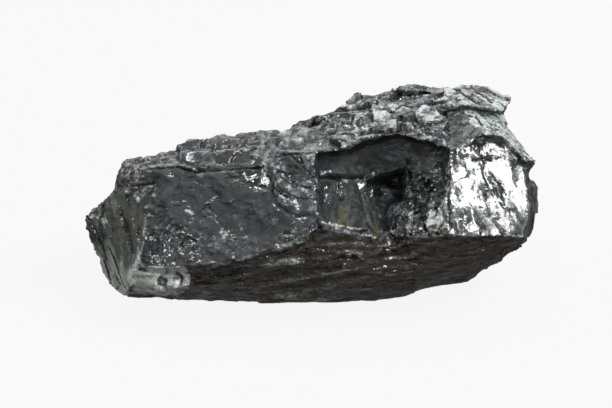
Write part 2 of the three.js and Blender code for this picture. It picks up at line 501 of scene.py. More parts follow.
@dataclass(frozen=True)
class Ripples:
    """Arcs of a shell-like break round one place.

    Attributes:
        middle: [across, up] of the arcs' centre.
        spacing: mm from arc to arc.
        height: mm, the arcs' height.
        near: mm from the centre to the first arc.
        far: mm from the centre to the last arc.
        within: the outline that the arcs stay in.
    """

    middle: Point2
    spacing: float
    height: float
    near: float
    far: float
    within: Outline

    def heights(self, points: np.ndarray) -> np.ndarray:
        """Gives the arcs' height: each rises slowly outwards and drops quickly to the next.

        Args:
            points: rows of show points.

        Returns:
            Millimetres for each point.
        """
        reach = np.linalg.norm(points[:, :2] - np.array(self.middle), axis=1)
        reach += 0.6 * self.spacing * rough(points, 3.4, 51)
        share = ramp(signed_distance(points[:, :2], self.within), 0.0, 1.2)
        share *= ramp(reach, self.near, self.near + 0.8) * (1 - ramp(reach, self.far - 1.2, self.far))
        share *= ramp(rough(points, 2.6, 52), -0.5, 0.4)
        phase, trough = (reach / self.spacing) % 1.0, 0.35
        return self.height * share * (np.abs(phase - trough) / (1 - trough) - 0.5)


@dataclass(frozen=True)
class Crack:
    """A fine open crack, or a narrow dark line, along a line of places; both are darkened as painted shade.

    Attributes:
        line: [across, up] places in order.
        width: mm.
        depth: mm.
        dark: the part of the gloss that it takes away; where little is left, the plain dark diffuse shows
            as painted shade.
    """

    line: Outline
    width: float = 0.3
    depth: float = 0.5
    dark: float = 0.97

    def share(self, points: np.ndarray) -> np.ndarray:
        """Tells how much each point lies in the crack.

        Args:
            points: rows of show points.

        Returns:
            1 along the crack and 0 away from it.
        """
        near = close_by(points, self.line, margin=1.5)
        close = points[near]
        reach = line_distance(close[:, :2] + 0.25 * stray(close, 1.5, 61), self.line)
        share = np.zeros(len(points))
        share[near] = np.exp(-((reach / self.width) ** 2))
        return share

    def heights(self, points: np.ndarray) -> np.ndarray:
        """Gives the crack's height, below 0, at each show point."""
        return -self.depth * self.share(points)


@dataclass(frozen=True)
class Patch:
    """One flake, chip or flat whose face is turned and finished its own way.

    Attributes:
        corners: its outline as [across, up], in order.
        facing: the [across, up, out] direction of its face, or None to leave the surface as it lies.
        gloss: how brightly it shines.
        film_and_sheen: pale film on it, also painted sheen; past 1 it is thick and fills the hollows too.
        green: grey-green tint.
        facets: how strongly the small flat facets on it lean.
        grit: how strongly its finest grains stand out.
        reach: mm, how far the surface may move to face that way.
        rise: mm, how far it stands above the surface round it.
        dome: per mm, how quickly it curves away from its middle.
        ragged: mm, how far its border strays.
        soft: mm, how far its border fades.
        smooth: True where the small flakes on it are planed off.
    """

    corners: Outline
    facing: Point3 | None = None
    gloss: Gloss = Gloss.SATIN
    film_and_sheen: float = 0.05
    green: float = 0.0
    facets: float = 0.15
    grit: float = 0.15
    reach: float = 0.5
    rise: float = 0.0
    dome: float = 0.0
    ragged: float = 0.35
    soft: float = 0.25
    smooth: bool = False

    def share(self, points: np.ndarray) -> np.ndarray:
        """Gives 1 on the patch and 0 off it, with a ragged border."""
        ragged = points[:, :2] + self.ragged * stray(points, 1.7, 71)
        return ramp(signed_distance(ragged, self.corners), -self.soft, self.soft)

    def lift(self, points: np.ndarray, normals: np.ndarray, share: np.ndarray) -> np.ndarray:
        """Works out how far each point moves along its normal to bring the patch round to its facing.

        Args:
            points: show points near the patch.
            normals: their normals.
            share: the patch's share of each.

        Returns:
            Millimetres for each point.
        """
        weight = share / max(float(share.sum()), 1e-9)
        away = points - (weight[:, None] * points).sum(axis=0)
        if self.facing is None:
            height = np.zeros(len(points))
        else:
            facing = np.array(self.facing) / np.linalg.norm(self.facing)
            height = -(away[:, :2] @ facing[:2]) / facing[2]
            if self.smooth:
                height -= away[:, 2]
            else:
                pull = np.sqrt(weight)
                level = np.column_stack([away[:, :2], np.ones(len(points))]) * pull[:, None]
                slope = np.linalg.lstsq(level, away[:, 2] * pull, rcond=None)[0]
                height -= away[:, :2] @ slope[:2]
            height *= normals[:, 2]
        height -= self.dome * (away * away).sum(axis=1)
        height -= (weight * height).sum()
        return share * (np.clip(height, -self.reach, self.reach) + self.rise)


# ---- The lump's faces, cracks and chips ----

TO_LIGHT = (0.32, 0.32, 0.89)  # the way a chip faces when it flashes with the main light
FINE = Scars((1.5, 1.1, 1.2), turn=25, hollow=0.10, tilt=0.08, step=0.03, seed=301)
EDGE_CHIPS = Scars((1.8, 1.3, 1.5), turn=20, hollow=0.30, tilt=0.15, step=0.12, seed=303)

BREAK_ALL_OVER = Face(
    corners=((-200, -200), (200, -200), (200, 200), (-200, 200)),
    layers=(
        Scars((15, 10, 12), turn=20, hollow=1.2, tilt=0.08, step=0.3, seed=401),
        Flaking((10.0, 5.5, 7.5), turn=-15, tilt=0.14, step=0.20, seed=402),
        Scars((3.2, 2.2, 3.0), turn=30, hollow=0.30, tilt=0.10, step=0.08, seed=403),
    ),
    finish=Finish(Gloss.SATIN, film_and_sheen=0.10, facets=0.28, grit=0.28, streak=20, length=5, width=2),
)

FACES: dict[str, Face] = {
    "end_scoop": Face(
        ((-62, 20.5), (-57, 26), (-52, 30), (-47, 28.6), (-44.2, 25.8), (-42.6, 22), (-43, 17), (-44, 13),
         (-44.8, 10.3), (-46.4, 6.8), (-48.4, 4), (-50, -1), (-58, 2), (-62, 15)),
        (Scars((5, 14, 6), turn=18, hollow=0.55, step=0.08, seed=11),
         Flaking((2, 12, 5), turn=17, step=0.06, seed=12)),
        Finish(Gloss.BRIGHT, film_and_sheen=0.12, green=1.0, grit=0.05, facets=0.12, streak=-70, length=12, width=0.5,
               cover=0.2),
        eased=110,
    ),
    "shoulder": Face(
        ((-53, 29), (-47, 28.4), (-45.4, 32), (-46.4, 36.8), (-52, 39), (-53, 33)),
        (Scars((3.2, 2, 2.6), turn=35, tilt=0.25, step=0.25, seed=21), FINE),
        Finish(Gloss.SATIN, film_and_sheen=0.22, facets=0.9, streak=40, length=2.5),
    ),
    "low_top": Face(
        ((-52, 35.6), (-45, 36.2), (-38, 36.6), (-34.6, 38), (-34.6, 43), (-40, 42), (-52, 41)),
        (Scars((7, 2.2, 2.6), turn=4, hollow=0.8, tilt=0.3, step=0.3, seed=31), FINE,
         Flaking((5, 2.2, 3), turn=6, step=0.12, seed=33)),
        Finish(Gloss.SATIN, film_and_sheen=0.12, grit=0.35, streak=5, length=5, width=0.8),
    ),
    "proud_top": Face(
        ((-34.6, 37), (-31, 35.4), (-22, 35.6), (-13, 36.6), (-12.4, 47), (-34.6, 45)),
        (Scars((8, 3.4, 3.8), turn=8, hollow=1.0, tilt=0.25, step=0.4, seed=41),
         Scars((2.6, 1.4, 1.8), turn=14, hollow=0.16, tilt=0.1, step=0.06, seed=42),
         Flaking((5, 2.6, 3.2), turn=10, step=0.12, seed=43)),
        Finish(Gloss.SATIN, film_and_sheen=0.1, grit=0.25, facets=0.22, streak=12, length=4, width=1.2, cover=0.4),
    ),
    "broad_face": Face(
        ((-45.4, 32), (-46.4, 36.2), (-42, 35.6), (-34, 36.2), (-28, 34.8), (-16, 36), (-10, 36),
         (-9.6, 26), (-5, 22), (-3, 17), (-12, 13.9), (-24, 10.8), (-36, 9.6), (-44.6, 10.4), (-43, 17),
         (-42.6, 22), (-44.4, 26)),
        (Scars((13, 9, 10), turn=-20, hollow=1.0, step=0.15, seed=51),
         Scars((4, 2.6, 3.2), turn=-25, hollow=0.22, tilt=0.08, step=0.06, seed=52), FINE,
         Flaking((6, 4, 5), turn=-25, tilt=0.03, step=0.02, seed=53)),
        Finish(Gloss.SATIN, film_and_sheen=0.06, grit=0.3, facets=0.22, streak=-28, length=5, width=1.6, cover=0.3),
        eased=24,
    ),
    "shelf_strip": Face(
        ((-47, 5), (-45.5, 10.2), (-36, 9.7), (-32.3, 9.9), (-31.2, 7), (-33, 3.4), (-40, 2), (-47, 3)),
        (Scars((5, 4, 4), turn=5, hollow=0.7, tilt=0.08, seed=61),),
        # Painted sheen: the thick pale film stands for the bright band that this glossy strip would
        # reflect.
        Finish(Gloss.SATIN, film_and_sheen=1.9, grit=0.05, facets=0.2),
        eased=10,
    ),
    "belly": Face(
        ((-28, 10.4), (-18, 11.8), (-6, 15.3), (2, 20), (11, 18.1), (24, 18), (43, 18), (56, 17.8),
         (58, 12), (46, 4), (26, -3), (-52, -3), (-47, 4.6), (-40, 1.8), (-33, 3.2), (-31, 7),
         (-32.2, 9.9)),
        (Scars((12, 2.8, 5), turn=6, hollow=1.2, tilt=0.15, step=0.4, seed=71),
         Scars((4.6, 1.2, 2.4), turn=8, hollow=0.28, tilt=0.14, seed=72),
         Flaking((9, 1.5, 3), turn=7, tilt=0.06, step=0.06, seed=73)),
        Finish(Gloss.BRIGHT, film_and_sheen=0.17, warm=0.9, grit=0.6, facets=0.9, streak=6, length=7, width=0.8,
               cover=0.3),
        eased=30,
    ),
    "block": Face(
        ((-10, 36.2), (-10.6, 46), (-1, 50), (1.4, 46.6), (5.2, 43.8), (1.6, 39.6), (1.2, 24.4), (2, 20),
         (-3, 17.5), (-5, 22), (-9.6, 26)),
        (Scars((6, 5, 5), turn=15, hollow=1.1, tilt=0.25, step=0.4, seed=81),
         Scars((2.4, 1.6, 2), turn=60, hollow=0.1, tilt=0.06, step=0.04, seed=82),
         Flaking((4.2, 3.2, 4), turn=20, tilt=0.07, step=0.06, seed=83)),
        Finish(Gloss.SATIN, film_and_sheen=0.07, grit=0.3, facets=0.35, streak=30),
    ),
    "ribbed_strip": Face(
        ((-13.6, 47), (-10.6, 47), (-9.2, 36), (-10.2, 31), (-12.6, 32.4), (-13, 38)),
        (Scars((1.1, 9, 3), turn=-6, hollow=0.35, tilt=0.1, seed=91),),
        Finish(Gloss.SATIN, film_and_sheen=0.25, grit=0.3, facets=0.6, upright=1, streak=84, length=6, width=0.7),
    ),
    "recess": Face(
        ((1.8, 39.4), (10, 41), (14, 43), (20, 44.6), (30, 43.2), (36.4, 40.4), (36, 36), (30, 33),
         (25, 36), (20, 33), (14, 32), (2, 33)),
        (Scars((9, 7, 7), turn=-10, hollow=0.8, tilt=0.06, step=0.15, seed=101), FINE),
        Finish(Gloss.SATIN, film_and_sheen=0.04, grit=0.25, facets=0.3, streak=-20, length=5),
        eased=30,
    ),
    "ribbed_wedge": Face(
        ((1.8, 33), (14, 32), (16, 27), (19.5, 18), (11, 18), (2, 20.4)),
        (Scars((1.1, 10, 3), turn=-8, hollow=0.12, step=0.05, seed=111),
         Scars((4.2, 14, 5), turn=-5, hollow=0.3, tilt=0.04, step=0.12, seed=112)),
        Finish(Gloss.MIRROR, film_and_sheen=0.12, grit=0.2, facets=0.05, upright=1, streak=82, length=8, width=0.8),
        eased=14,
    ),
    "pit": Face(
        ((14.6, 32.6), (20, 34.2), (24.9, 37), (25, 27.4), (21.6, 24.4), (19, 19), (16.4, 26)),
        (FINE,),
        # Painted light: the pale film lifts the deep pit out of its own shade.
        Finish(Gloss.BRIGHT, film_and_sheen=0.5, grit=0.2, facets=0.4),
    ),
    "chipped_corner": Face(
        ((25, 36.5), (30, 33), (36, 36), (34.8, 30), (33.8, 24), (35.8, 18.2), (20, 18), (22, 24.6),
         (25, 27.4)),
        (Scars((4.6, 3.2, 4), turn=55, tilt=0.14, step=0.2, seed=121),
         Scars((1.6, 1, 1.3), turn=-50, hollow=0.14, tilt=0.1, step=0.04, seed=122),
         Flaking((3, 1.9, 2.4), turn=55, tilt=0.34, step=0.14, seed=123)),
        Finish(Gloss.BRIGHT, film_and_sheen=0.16, grit=0.7, facets=1.1, streak=50),
    ),
    "mirror": Face(
        ((36.4, 40.3), (38.5, 41), (41.5, 42.8), (44.5, 44), (47.5, 43.7), (50, 42), (53, 38.6), (56.4, 35),
         (56.6, 23), (55.4, 17.6), (50, 17.8), (43, 18), (36, 18.2), (33.8, 24), (35, 30), (36, 36)),
        (Scars((6, 12, 8), turn=22, hollow=0.75, step=0.15, seed=131),
         Scars((1.8, 4.6, 3), turn=30, hollow=0.12, tilt=0.07, step=0.04, seed=132)),
        Finish(Gloss.MIRROR, film_and_sheen=0.25, grit=0.06, facets=0.11, upright=1, streak=60, length=4, width=1.2),
        eased=40,
    ),
    "right_end": Face(
        ((56.4, 36), (62, 38), (62, 16), (55.4, 17.6), (56.6, 23)),
        (Scars((1.2, 5, 2.4), turn=-5, hollow=0.3, tilt=0.12, step=0.12, seed=141),),
        Finish(Gloss.SATIN, film_and_sheen=0.15, facets=0.8, upright=1, streak=84, length=4, width=0.7),
    ),
    "lower_slab": Face(
        ((43.4, 45.4), (47, 44.7), (50, 44), (54, 39.9), (57, 37.4), (60, 38.4), (54.6, 43.4), (51.4, 49.6),
         (44.5, 50.6), (39.4, 51.2), (41.4, 48.4)),
        (Flaking((18, 0.9, 1.6), turn=-41, tilt=0.04, step=0.03, seed=151),),
        # Painted sheen: the thick pale film stands partly for the light that this upturned slab reflects
        # and partly for grey-green mineral film.
        Finish(Gloss.DULL, film_and_sheen=2.2, green=0.3, grit=0.3, facets=0.25, streak=-40, length=12, width=0.6),
        eased=10,
    ),
    "cheek": Face(
        ((35.6, 50.6), (36.6, 43), (38.5, 41.2), (41.5, 43), (43, 45.4), (41.4, 48.2), (39, 51.2)),
        (Scars((6, 5, 5), turn=-30, hollow=0.4, step=0.08, seed=161),
         Flaking((4, 3, 3), turn=-30, tilt=0.05, step=0.03, seed=162)),
        Finish(Gloss.SATIN, film_and_sheen=0.05, grit=0.4, streak=-50, length=4),
        eased=20,
    ),
    "upper_slab": Face(
        ((35.4, 51.6), (37.2, 51.8), (40, 52.6), (44.3, 51.8), (50.4, 50.6), (54.6, 54), (51.6, 57),
         (45, 59.4), (33.4, 59.6), (36.2, 54)),
        (Scars((10, 2.6, 3.4), turn=-35, tilt=0.12, step=0.12, seed=171), FINE,
         Flaking((11, 1.6, 2.6), turn=-38, tilt=0.05, step=0.06, seed=173)),
        # Painted sheen: the thick pale film stands partly for the light that this upturned slab reflects
        # and partly for grey-green mineral film.
        Finish(Gloss.SATIN, film_and_sheen=1.1, green=0.4, grit=0.4, streak=-38, length=7, width=1.4),
    ),
    "crumbly_top": Face(
        ((1.6, 39.8), (10, 41.2), (14, 43.2), (20, 44.8), (30, 43.4), (36.4, 40.6), (36, 46), (35.4, 51),
         (36.2, 54), (33.4, 59.6), (8, 58), (9, 53), (-1, 50.4), (1.4, 46.6), (5.2, 43.8)),
        (Flaking((9, 3.2, 4.4), turn=15, tilt=0.26, step=0.34, seed=181),
         Flaking((3.8, 2, 2.6), turn=-14, tilt=0.15, seed=182)),
        Finish(Gloss.SATIN, film_and_sheen=0.38, grit=0.25, facets=0.25, streak=22, length=4, cover=0.4),
        eased=4,
    ),
}

RIPPLES = (
    Ripples((-31, 15), 1.3, 0.50, 5.0, 12, ((-42.5, 11), (-42, 20), (-36, 20.5), (-34.5, 11))),
    Ripples((-31, 15), 1.2, 0.45, 0.8, 4.6, ((-36, 11), (-36, 20), (-27, 20), (-27, 11))),
    Ripples((-50, 32), 2.4, 0.10, 4, 30, ((-60, 18), (-52, 27), (-44, 24), (-45, 8), (-55, 4))),
)

CRACKS = (
    # Each crack is darkened as painted shade as well as sunk.
    Crack(((-9, 39.4), (-6, 39), (-3, 39.4)), 0.28, 0.4),
    Crack(((-24, 29), (-25.4, 26.8), (-28, 25)), 0.25, 0.22),
    Crack(((-47, 31), (-44, 31.2), (-41, 31.6)), 0.3, 0.5),
    Crack(((36, 20), (35.6, 28), (36, 36)), 0.25, 0.5),
    # These two lie almost flat: narrow lines of painted shade across the wedge's top, where its edge would
    # catch a highlight.
    Crack(((1.8, 33.4), (6, 33.2), (10, 33.1), (13.8, 32.8)), 0.5, 0.02, dark=0.5),
    Crack(((1.9, 34.5), (4.8, 34.4)), 0.7, 0.02, dark=0.6),
    Crack(((42, 37.6), (44.5, 38), (47, 37.8)), 0.22, 0.4),
    Crack(((45, 42.6), (47.5, 42.2), (50, 41)), 0.22, 0.4),
    Crack(((43.4, 49.2), (44.6, 47)), 0.3, 0.6),
    Crack(((-0.3, 46.5), (1.3, 49.1), (5.6, 50.8), (13, 52), (15.1, 53.2)), 0.35, 0.5),
    Crack(((2.9, 46.5), (6.1, 48.1), (10.4, 47.5), (11.4, 49.1), (14.1, 50.2)), 0.26, 0.5),
    Crack(((8.2, 45.4), (12.5, 46.6), (13.5, 44.9)), 0.26, 0.5),
    Crack(((15.6, 50.6), (16, 48.4), (19.4, 46.6), (24.6, 44.4)), 0.28, 0.6),
    Crack(((15.7, 51.8), (21.5, 50.7), (24.2, 52.3), (26.6, 51.6)), 0.28, 0.6),
    Crack(((23.1, 49.3), (26.8, 50.4), (27.9, 48.1), (31.6, 46.9), (34.6, 47.6)), 0.28, 0.6),
    Crack(((13, 46.9), (18.9, 45.2), (23, 44.2)), 0.25, 0.6),
    Crack(((-25.4, 40.4), (-18, 42), (-14.4, 43.7)), 0.3, 0.7),
    Crack(((-22.4, 36.4), (-19.7, 38.9), (-14.4, 40.6)), 0.28, 0.6),
    Crack(((-33.8, 40.6), (-29.6, 41.2), (-26.4, 44.4)), 0.25, 0.5),
    Crack(((-46.4, 37.4), (-42.6, 39.6), (-40.6, 41.6)), 0.28, 0.6),
    Crack(((-9.1, 38.4), (-5.6, 39), (-2, 35.6), (1.1, 33)), 0.24, 0.3),
    Crack(((-7.4, 34.6), (-3.8, 31), (-0.3, 30.6)), 0.2, 0.25),
    Crack(((-8.8, 30.2), (-3.8, 27.8), (1.5, 27.4)), 0.22, 0.25),
    Crack(((36.8, 57.6), (40.4, 55), (44, 52.4)), 0.28, 0.4),
    Crack(((40.8, 58.4), (44.2, 55.6), (47.6, 53)), 0.24, 0.3),
    Crack(((46, 57.4), (48.4, 55.4), (50.4, 53.8)), 0.22, 0.3),
    # Dark arcs of painted shade round the swirl by the shelf.
    Crack(((-37.5, 22.7), (-39.9, 20.3), (-41.3, 17.4), (-41.6, 14.2), (-40.7, 11)), 0.32, 0.25, dark=0.9),
    Crack(((-35.5, 22.3), (-38.2, 20.1), (-39.8, 17.2), (-40, 13.9), (-38.9, 10.8)), 0.36, 0.3, dark=0.9),
    Crack(((-35.2, 20.8), (-37.3, 18.9), (-38.5, 16.3), (-38.4, 13.6), (-37.3, 11.1)), 0.32, 0.25,
          dark=0.9),
    Crack(((-33, 20.1), (-34.8, 19.2), (-36.1, 17.7), (-36.8, 15.9), (-36.8, 14.1)), 0.26, 0.2, dark=0.9),
    Crack(((-42.7, 35.3), (-38.6, 35.5), (-34.8, 36.1), (-30.4, 34.3), (-24.2, 35.2), (-18, 35.4),
           (-12.4, 35.9)), 0.32, 0.45),
    Crack(((-28, 24.4), (-24.6, 22.4), (-21.4, 18.4), (-18, 15.4)), 0.22, 0.12),
    Crack(((-31, 14.2), (-29.6, 16.4), (-31.6, 17.4), (-33.6, 15.8), (-32.8, 13.4)), 0.28, 0.35),
)

PATCHES = (
    # end scoop: pale streak at its foot, partly mineral film and partly painted reflection, and fine
    # arrises
    Patch(((-50.8, 2), (-50.4, 7), (-49.6, 12.5), (-49.2, 11), (-49.4, 6), (-49.8, 1.6)), film_and_sheen=1.8,
          green=0.5, facets=0.2, grit=0.2, ragged=0.5, soft=0.5),
    Patch(((-48.8, 2.6), (-48.2, 7.4), (-47.2, 10.6), (-46.8, 9.6), (-47.6, 5.6)), film_and_sheen=1.6, green=0.5,
          facets=0.2, grit=0.2, ragged=0.5, soft=0.5),
    Patch(((-50.4, 2.4), (-48.6, 2), (-46.6, 6), (-44.6, 11), (-43.9, 15.5), (-45.2, 14.5), (-46.8, 10.6),
           (-48.6, 6.4)), film_and_sheen=1.6, green=0.5, facets=0.2, grit=0.2, ragged=0.6, soft=0.5),
    Patch(((-53, 6), (-52.2, 10), (-51.8, 10), (-52.2, 5.6)), film_and_sheen=1.3, green=0.5, facets=0.2, grit=0.2,
          ragged=0.5, soft=0.4),
    Patch(((-56.6, 17), (-55, 21.5), (-53.6, 25), (-53.1, 24.6), (-53.4, 20), (-55, 15)), film_and_sheen=0.1,
          green=0.8, ragged=0.5),
    Patch(((-46.2, 10.6), (-43.6, 17), (-42.9, 22), (-43.6, 22), (-44.6, 17), (-47.4, 10)),
          gloss=Gloss.BRIGHT, film_and_sheen=0.24, green=0.6, ragged=0.4),
    Patch(((-57.4, 22), (-52.6, 28.2), (-49.4, 27), (-52, 20), (-55.5, 15)), film_and_sheen=0.34, green=0.8,
          facets=0.3, grit=0.3, ragged=1.4, soft=1.2),
    # shelf strip: a soft bright band of painted sheen in thick pale film, with bosses below it
    Patch(((-46.2, 9.4), (-44, 9.9), (-39, 9.6), (-33.6, 9.4), (-31.4, 7.6), (-32.6, 4.6), (-36, 4),
           (-40, 3), (-45, 3.6), (-46.8, 6.6)), gloss=Gloss.DULL, film_and_sheen=2.3, facets=0.2, grit=0.2,
          ragged=0.6, soft=0.5),
    Patch(((-46.4, 9.2), (-44.6, 9.8), (-40, 9.6), (-36.6, 9.4), (-36.6, 8), (-40, 7.8), (-45.6, 7.6)),
          (0.08, 0.42, 0.9), gloss=Gloss.DULL, film_and_sheen=2.3, grit=0.2, reach=0.7, ragged=0.4, soft=0.4),
    Patch(((-40.4, 4), (-40.2, 6.8), (-38.8, 7.9), (-37.4, 6.6), (-37.4, 4.4), (-39, 3.2)), TO_LIGHT,
          film_and_sheen=0.8, reach=1.3, dome=0.05, smooth=True),
    Patch(((-36.8, 5), (-36.6, 7.4), (-34.8, 8.8), (-33.2, 7.4), (-33.6, 5.2), (-35.2, 4.4)), TO_LIGHT,
          film_and_sheen=0.8, reach=1.3, dome=0.05, smooth=True),
    # shoulder: small bright and pale chips
    Patch(((-49.6, 29.2), (-48, 30.4), (-46.4, 29.8), (-47.2, 28.4)), TO_LIGHT, gloss=Gloss.DULL, film_and_sheen=0.2,
          dome=0.1),
    Patch(((-46.4, 30.6), (-43.4, 30), (-43.6, 27.4), (-45, 26.4), (-46, 28.4)), gloss=Gloss.DULL,
          film_and_sheen=0.25),
    Patch(((-51.4, 37.6), (-48, 38.6), (-47.2, 34.4), (-48.6, 32.6), (-51.4, 33)), film_and_sheen=0.3, green=0.4),
    # broad face: chips along the brow, swirl and glints by the shelf
    Patch(((-44.6, 35.6), (-40, 36), (-34, 34.9), (-30.8, 33.6), (-34, 33.9), (-40, 34.4)), film_and_sheen=0.22,
          ragged=0.6),
    Patch(((-31, 34.7), (-29, 32.9), (-24, 34.2), (-17, 35), (-17, 35.8), (-24, 35.3), (-29, 34.4)),
          film_and_sheen=0.3, facets=0.2, ragged=0.6),
    Patch(((-43.6, 24.4), (-40.6, 29.6), (-35, 32), (-36, 29.6), (-40, 25.6)), film_and_sheen=0.16, ragged=0.8,
          soft=0.8),
    Patch(((-34.6, 17.2), (-31, 18.6), (-27.4, 16.6), (-27.6, 13.4), (-31, 11.8), (-34.4, 13.2)), film_and_sheen=0.14,
          facets=0.3, grit=0.5, soft=0.8),
    Patch(((-42.8, 11.2), (-43.2, 18), (-40, 21), (-34, 21), (-28, 19), (-27, 14), (-32, 10.6),
           (-38, 10.4)), gloss=Gloss.BRIGHT, film_and_sheen=0.08, facets=0.5, grit=0.4, ragged=0.9, soft=1.0),
    Patch(((-31.4, 11), (-31, 13.6), (-29.9, 13.9), (-30.2, 11.6)), TO_LIGHT, film_and_sheen=0.0, dome=0.12),
    Patch(((-30, 10.8), (-29, 12.2), (-28.2, 11.9), (-28.8, 10.7)), TO_LIGHT, film_and_sheen=0.0, dome=0.12),
    Patch(((-26, 17.4), (-21, 19.6), (-18, 16.4), (-20, 12.6), (-26, 12.2), (-27.6, 14)), gloss=Gloss.DULL,
          film_and_sheen=0.12, facets=0.5, grit=0.5, ragged=1.0, soft=0.8),
    Patch(((-9, 17.6), (-6.4, 20.2), (-3.6, 19.2), (-3.4, 17.2), (-7, 15.6)), gloss=Gloss.BRIGHT, film_and_sheen=0.3,
          facets=0.8, grit=0.6, ragged=0.8, soft=0.6),
    # flash and glints beside the block
    Patch(((-13.4, 31), (-13.2, 33.2), (-11, 33.6), (-10.2, 32), (-11.6, 30.8)), TO_LIGHT,
          gloss=Gloss.BRIGHT, film_and_sheen=0.0, reach=1.0, dome=0.05, smooth=True),
    Patch(((-19.6, 31.2), (-18, 34.6), (-13.6, 34.6), (-13.2, 30.4), (-17, 29.4)), gloss=Gloss.BRIGHT,
          film_and_sheen=0.14, facets=0.35, grit=0.5, ragged=0.8, soft=0.6),
    # block: large flats
    Patch(((-8.6, 45.6), (-1, 46.2), (3.6, 44.6), (4.4, 42.4), (1.2, 40.8), (-3, 40), (-8.6, 40.4)),
          (0.0, 0.66, 0.75), film_and_sheen=0.34, facets=0.12, soft=0.5),
    Patch(((-5.4, 44.4), (-1.6, 44.6), (-1.4, 42.6), (-5, 42.2)), gloss=Gloss.DULL, film_and_sheen=0.75, facets=0.2,
          ragged=0.9, soft=0.7),
    Patch(((-8.8, 39.4), (-3.2, 38.6), (-0.8, 33.8), (-4, 30.6), (-8.8, 34.4)), (-0.12, 0.02, 0.99),
          film_and_sheen=0.06, facets=0.12),
    Patch(((-2.8, 38.8), (1.2, 39), (1, 33.6), (-0.6, 33.6)), (0.24, 0.1, 0.96), gloss=Gloss.DULL,
          film_and_sheen=0.26, facets=0.2),
    Patch(((-8.8, 33.8), (-4, 30.2), (-0.6, 33.2), (1, 33.2), (1, 28.4), (-5, 27.6), (-9, 30)),
          (0.12, 0.24, 0.96), gloss=Gloss.DULL, film_and_sheen=0.22, facets=0.25),
    Patch(((-8.8, 29.2), (-4.6, 27.2), (1, 27.8), (1, 23), (-3.6, 22.6), (-8.4, 26)), (0.02, 0.12, 0.99),
          film_and_sheen=0.1, facets=0.3),
    Patch(((-1.2, 27.6), (1.2, 30.4), (1.3, 24.4), (0.2, 22.2)), gloss=Gloss.BRIGHT, film_and_sheen=0.34, facets=0.8,
          ragged=0.6),
    # proud top and low top
    Patch(((-34, 43.6), (-27.6, 44.8), (-25.4, 40.4), (-33.6, 40.2)), (-0.15, 0.62, 0.77), soft=0.5),
    Patch(((-33.8, 39.8), (-26, 40), (-25.2, 37.4), (-31, 36.4), (-33.8, 38)), (-0.18, 0.3, 0.94),
          film_and_sheen=0.08, soft=0.5),
    Patch(((-27, 44.6), (-19.6, 45.4), (-17.6, 41.6), (-24.8, 40.8)), (0.15, 0.76, 0.63), film_and_sheen=0.16,
          soft=0.5),
    Patch(((-24.6, 40.2), (-17, 41), (-14, 38.4), (-18, 36.8), (-24.6, 37.2)), (-0.05, 0.45, 0.89),
          film_and_sheen=0.06, facets=0.3, soft=0.5),
    Patch(((-19, 45.4), (-13.6, 46.4), (-13.6, 41.6), (-17, 41.8)), (0.1, 0.62, 0.78), film_and_sheen=0.2, facets=0.4,
          soft=0.5),
    Patch(((-50, 40.2), (-42, 41.6), (-40, 38.6), (-46, 37.2), (-50.6, 38)), (0.0, 0.66, 0.75), film_and_sheen=0.28,
          facets=0.3, soft=0.5),
    Patch(((-41.4, 41.6), (-35, 42.6), (-35, 39.4), (-39.6, 38.2)), (0.1, 0.74, 0.67), film_and_sheen=0.16,
          facets=0.3, soft=0.5),
    # crumbly top: thin sheets and flats, their pale film partly painted sheen and highlight, and hollows
    # painted dark as shade under the sheets
    Patch(((0.6, 49.2), (7.4, 49.9), (11.2, 49.2), (11, 47), (5.6, 45.6), (1.4, 46.4)), (-0.05, 0.7, 0.72),
          film_and_sheen=0.62, reach=0.7),
    Patch(((-0.8, 46), (1.4, 48.8), (3.2, 48.6), (2.2, 46.6)), gloss=Gloss.MATT, film_and_sheen=0.0, rise=-0.1),
    Patch(((1.8, 49.7), (5, 50.6), (13.4, 51.9), (13.2, 51.1), (5.8, 49.7)), gloss=Gloss.MATT, film_and_sheen=0.0,
          rise=-0.2, ragged=0.2),
    Patch(((2.4, 50.4), (7, 52.2), (13.6, 53.4), (14.6, 52), (6.6, 50.9)), (-0.1, 0.85, 0.52), film_and_sheen=1.05,
          rise=0.25),
    Patch(((7, 47.6), (9.6, 46), (10.2, 46.4), (7.6, 48.2)), gloss=Gloss.BRIGHT, film_and_sheen=0.9, rise=0.25,
          ragged=0.15),
    Patch(((11.4, 49.6), (13.8, 50.4), (15.4, 48), (14.6, 45.4), (11.8, 45.2), (10.8, 47.4)),
          (0.05, 0.8, 0.6), film_and_sheen=1.4, green=0.3, reach=0.8, rise=0.2),
    Patch(((15.6, 52.2), (20.4, 53.2), (23.8, 51.8), (22, 50.4), (16.4, 50.2)), (0.1, 0.74, 0.66), film_and_sheen=1.2,
          green=0.3, reach=0.8, rise=0.3),
    Patch(((15.6, 49.8), (19.6, 50.2), (24.8, 46.6), (25, 44.9), (20.6, 46.2), (16.4, 48)),
          (0.1, 0.66, 0.74), film_and_sheen=1.35, green=0.3, reach=0.8, rise=0.2),
    Patch(((19.2, 48.8), (21.6, 49), (22.6, 46.8), (21, 46.6)), (0.28, 0.38, 0.88), film_and_sheen=1.4, dome=0.06),
    Patch(((22.8, 46.4), (24.8, 45.6), (25.2, 44.6), (23.6, 44.8)), (0.28, 0.38, 0.88), film_and_sheen=1.2),
    Patch(((11.4, 44.8), (17.6, 46.6), (23, 45), (17.6, 44.2)), gloss=Gloss.DULL, film_and_sheen=0.34, facets=0.5),
    Patch(((27.6, 50.2), (29.4, 52), (32.6, 51.8), (34, 49.8), (31.8, 48.2), (28.6, 48.4)),
          (0.05, 0.74, 0.67), film_and_sheen=1.4, green=0.3, reach=0.8, rise=0.2, dome=0.03),
    Patch(((28.8, 49.8), (30.6, 50), (31.6, 48.6), (29.6, 48.2)), (0.28, 0.38, 0.88), film_and_sheen=1.4, dome=0.06),
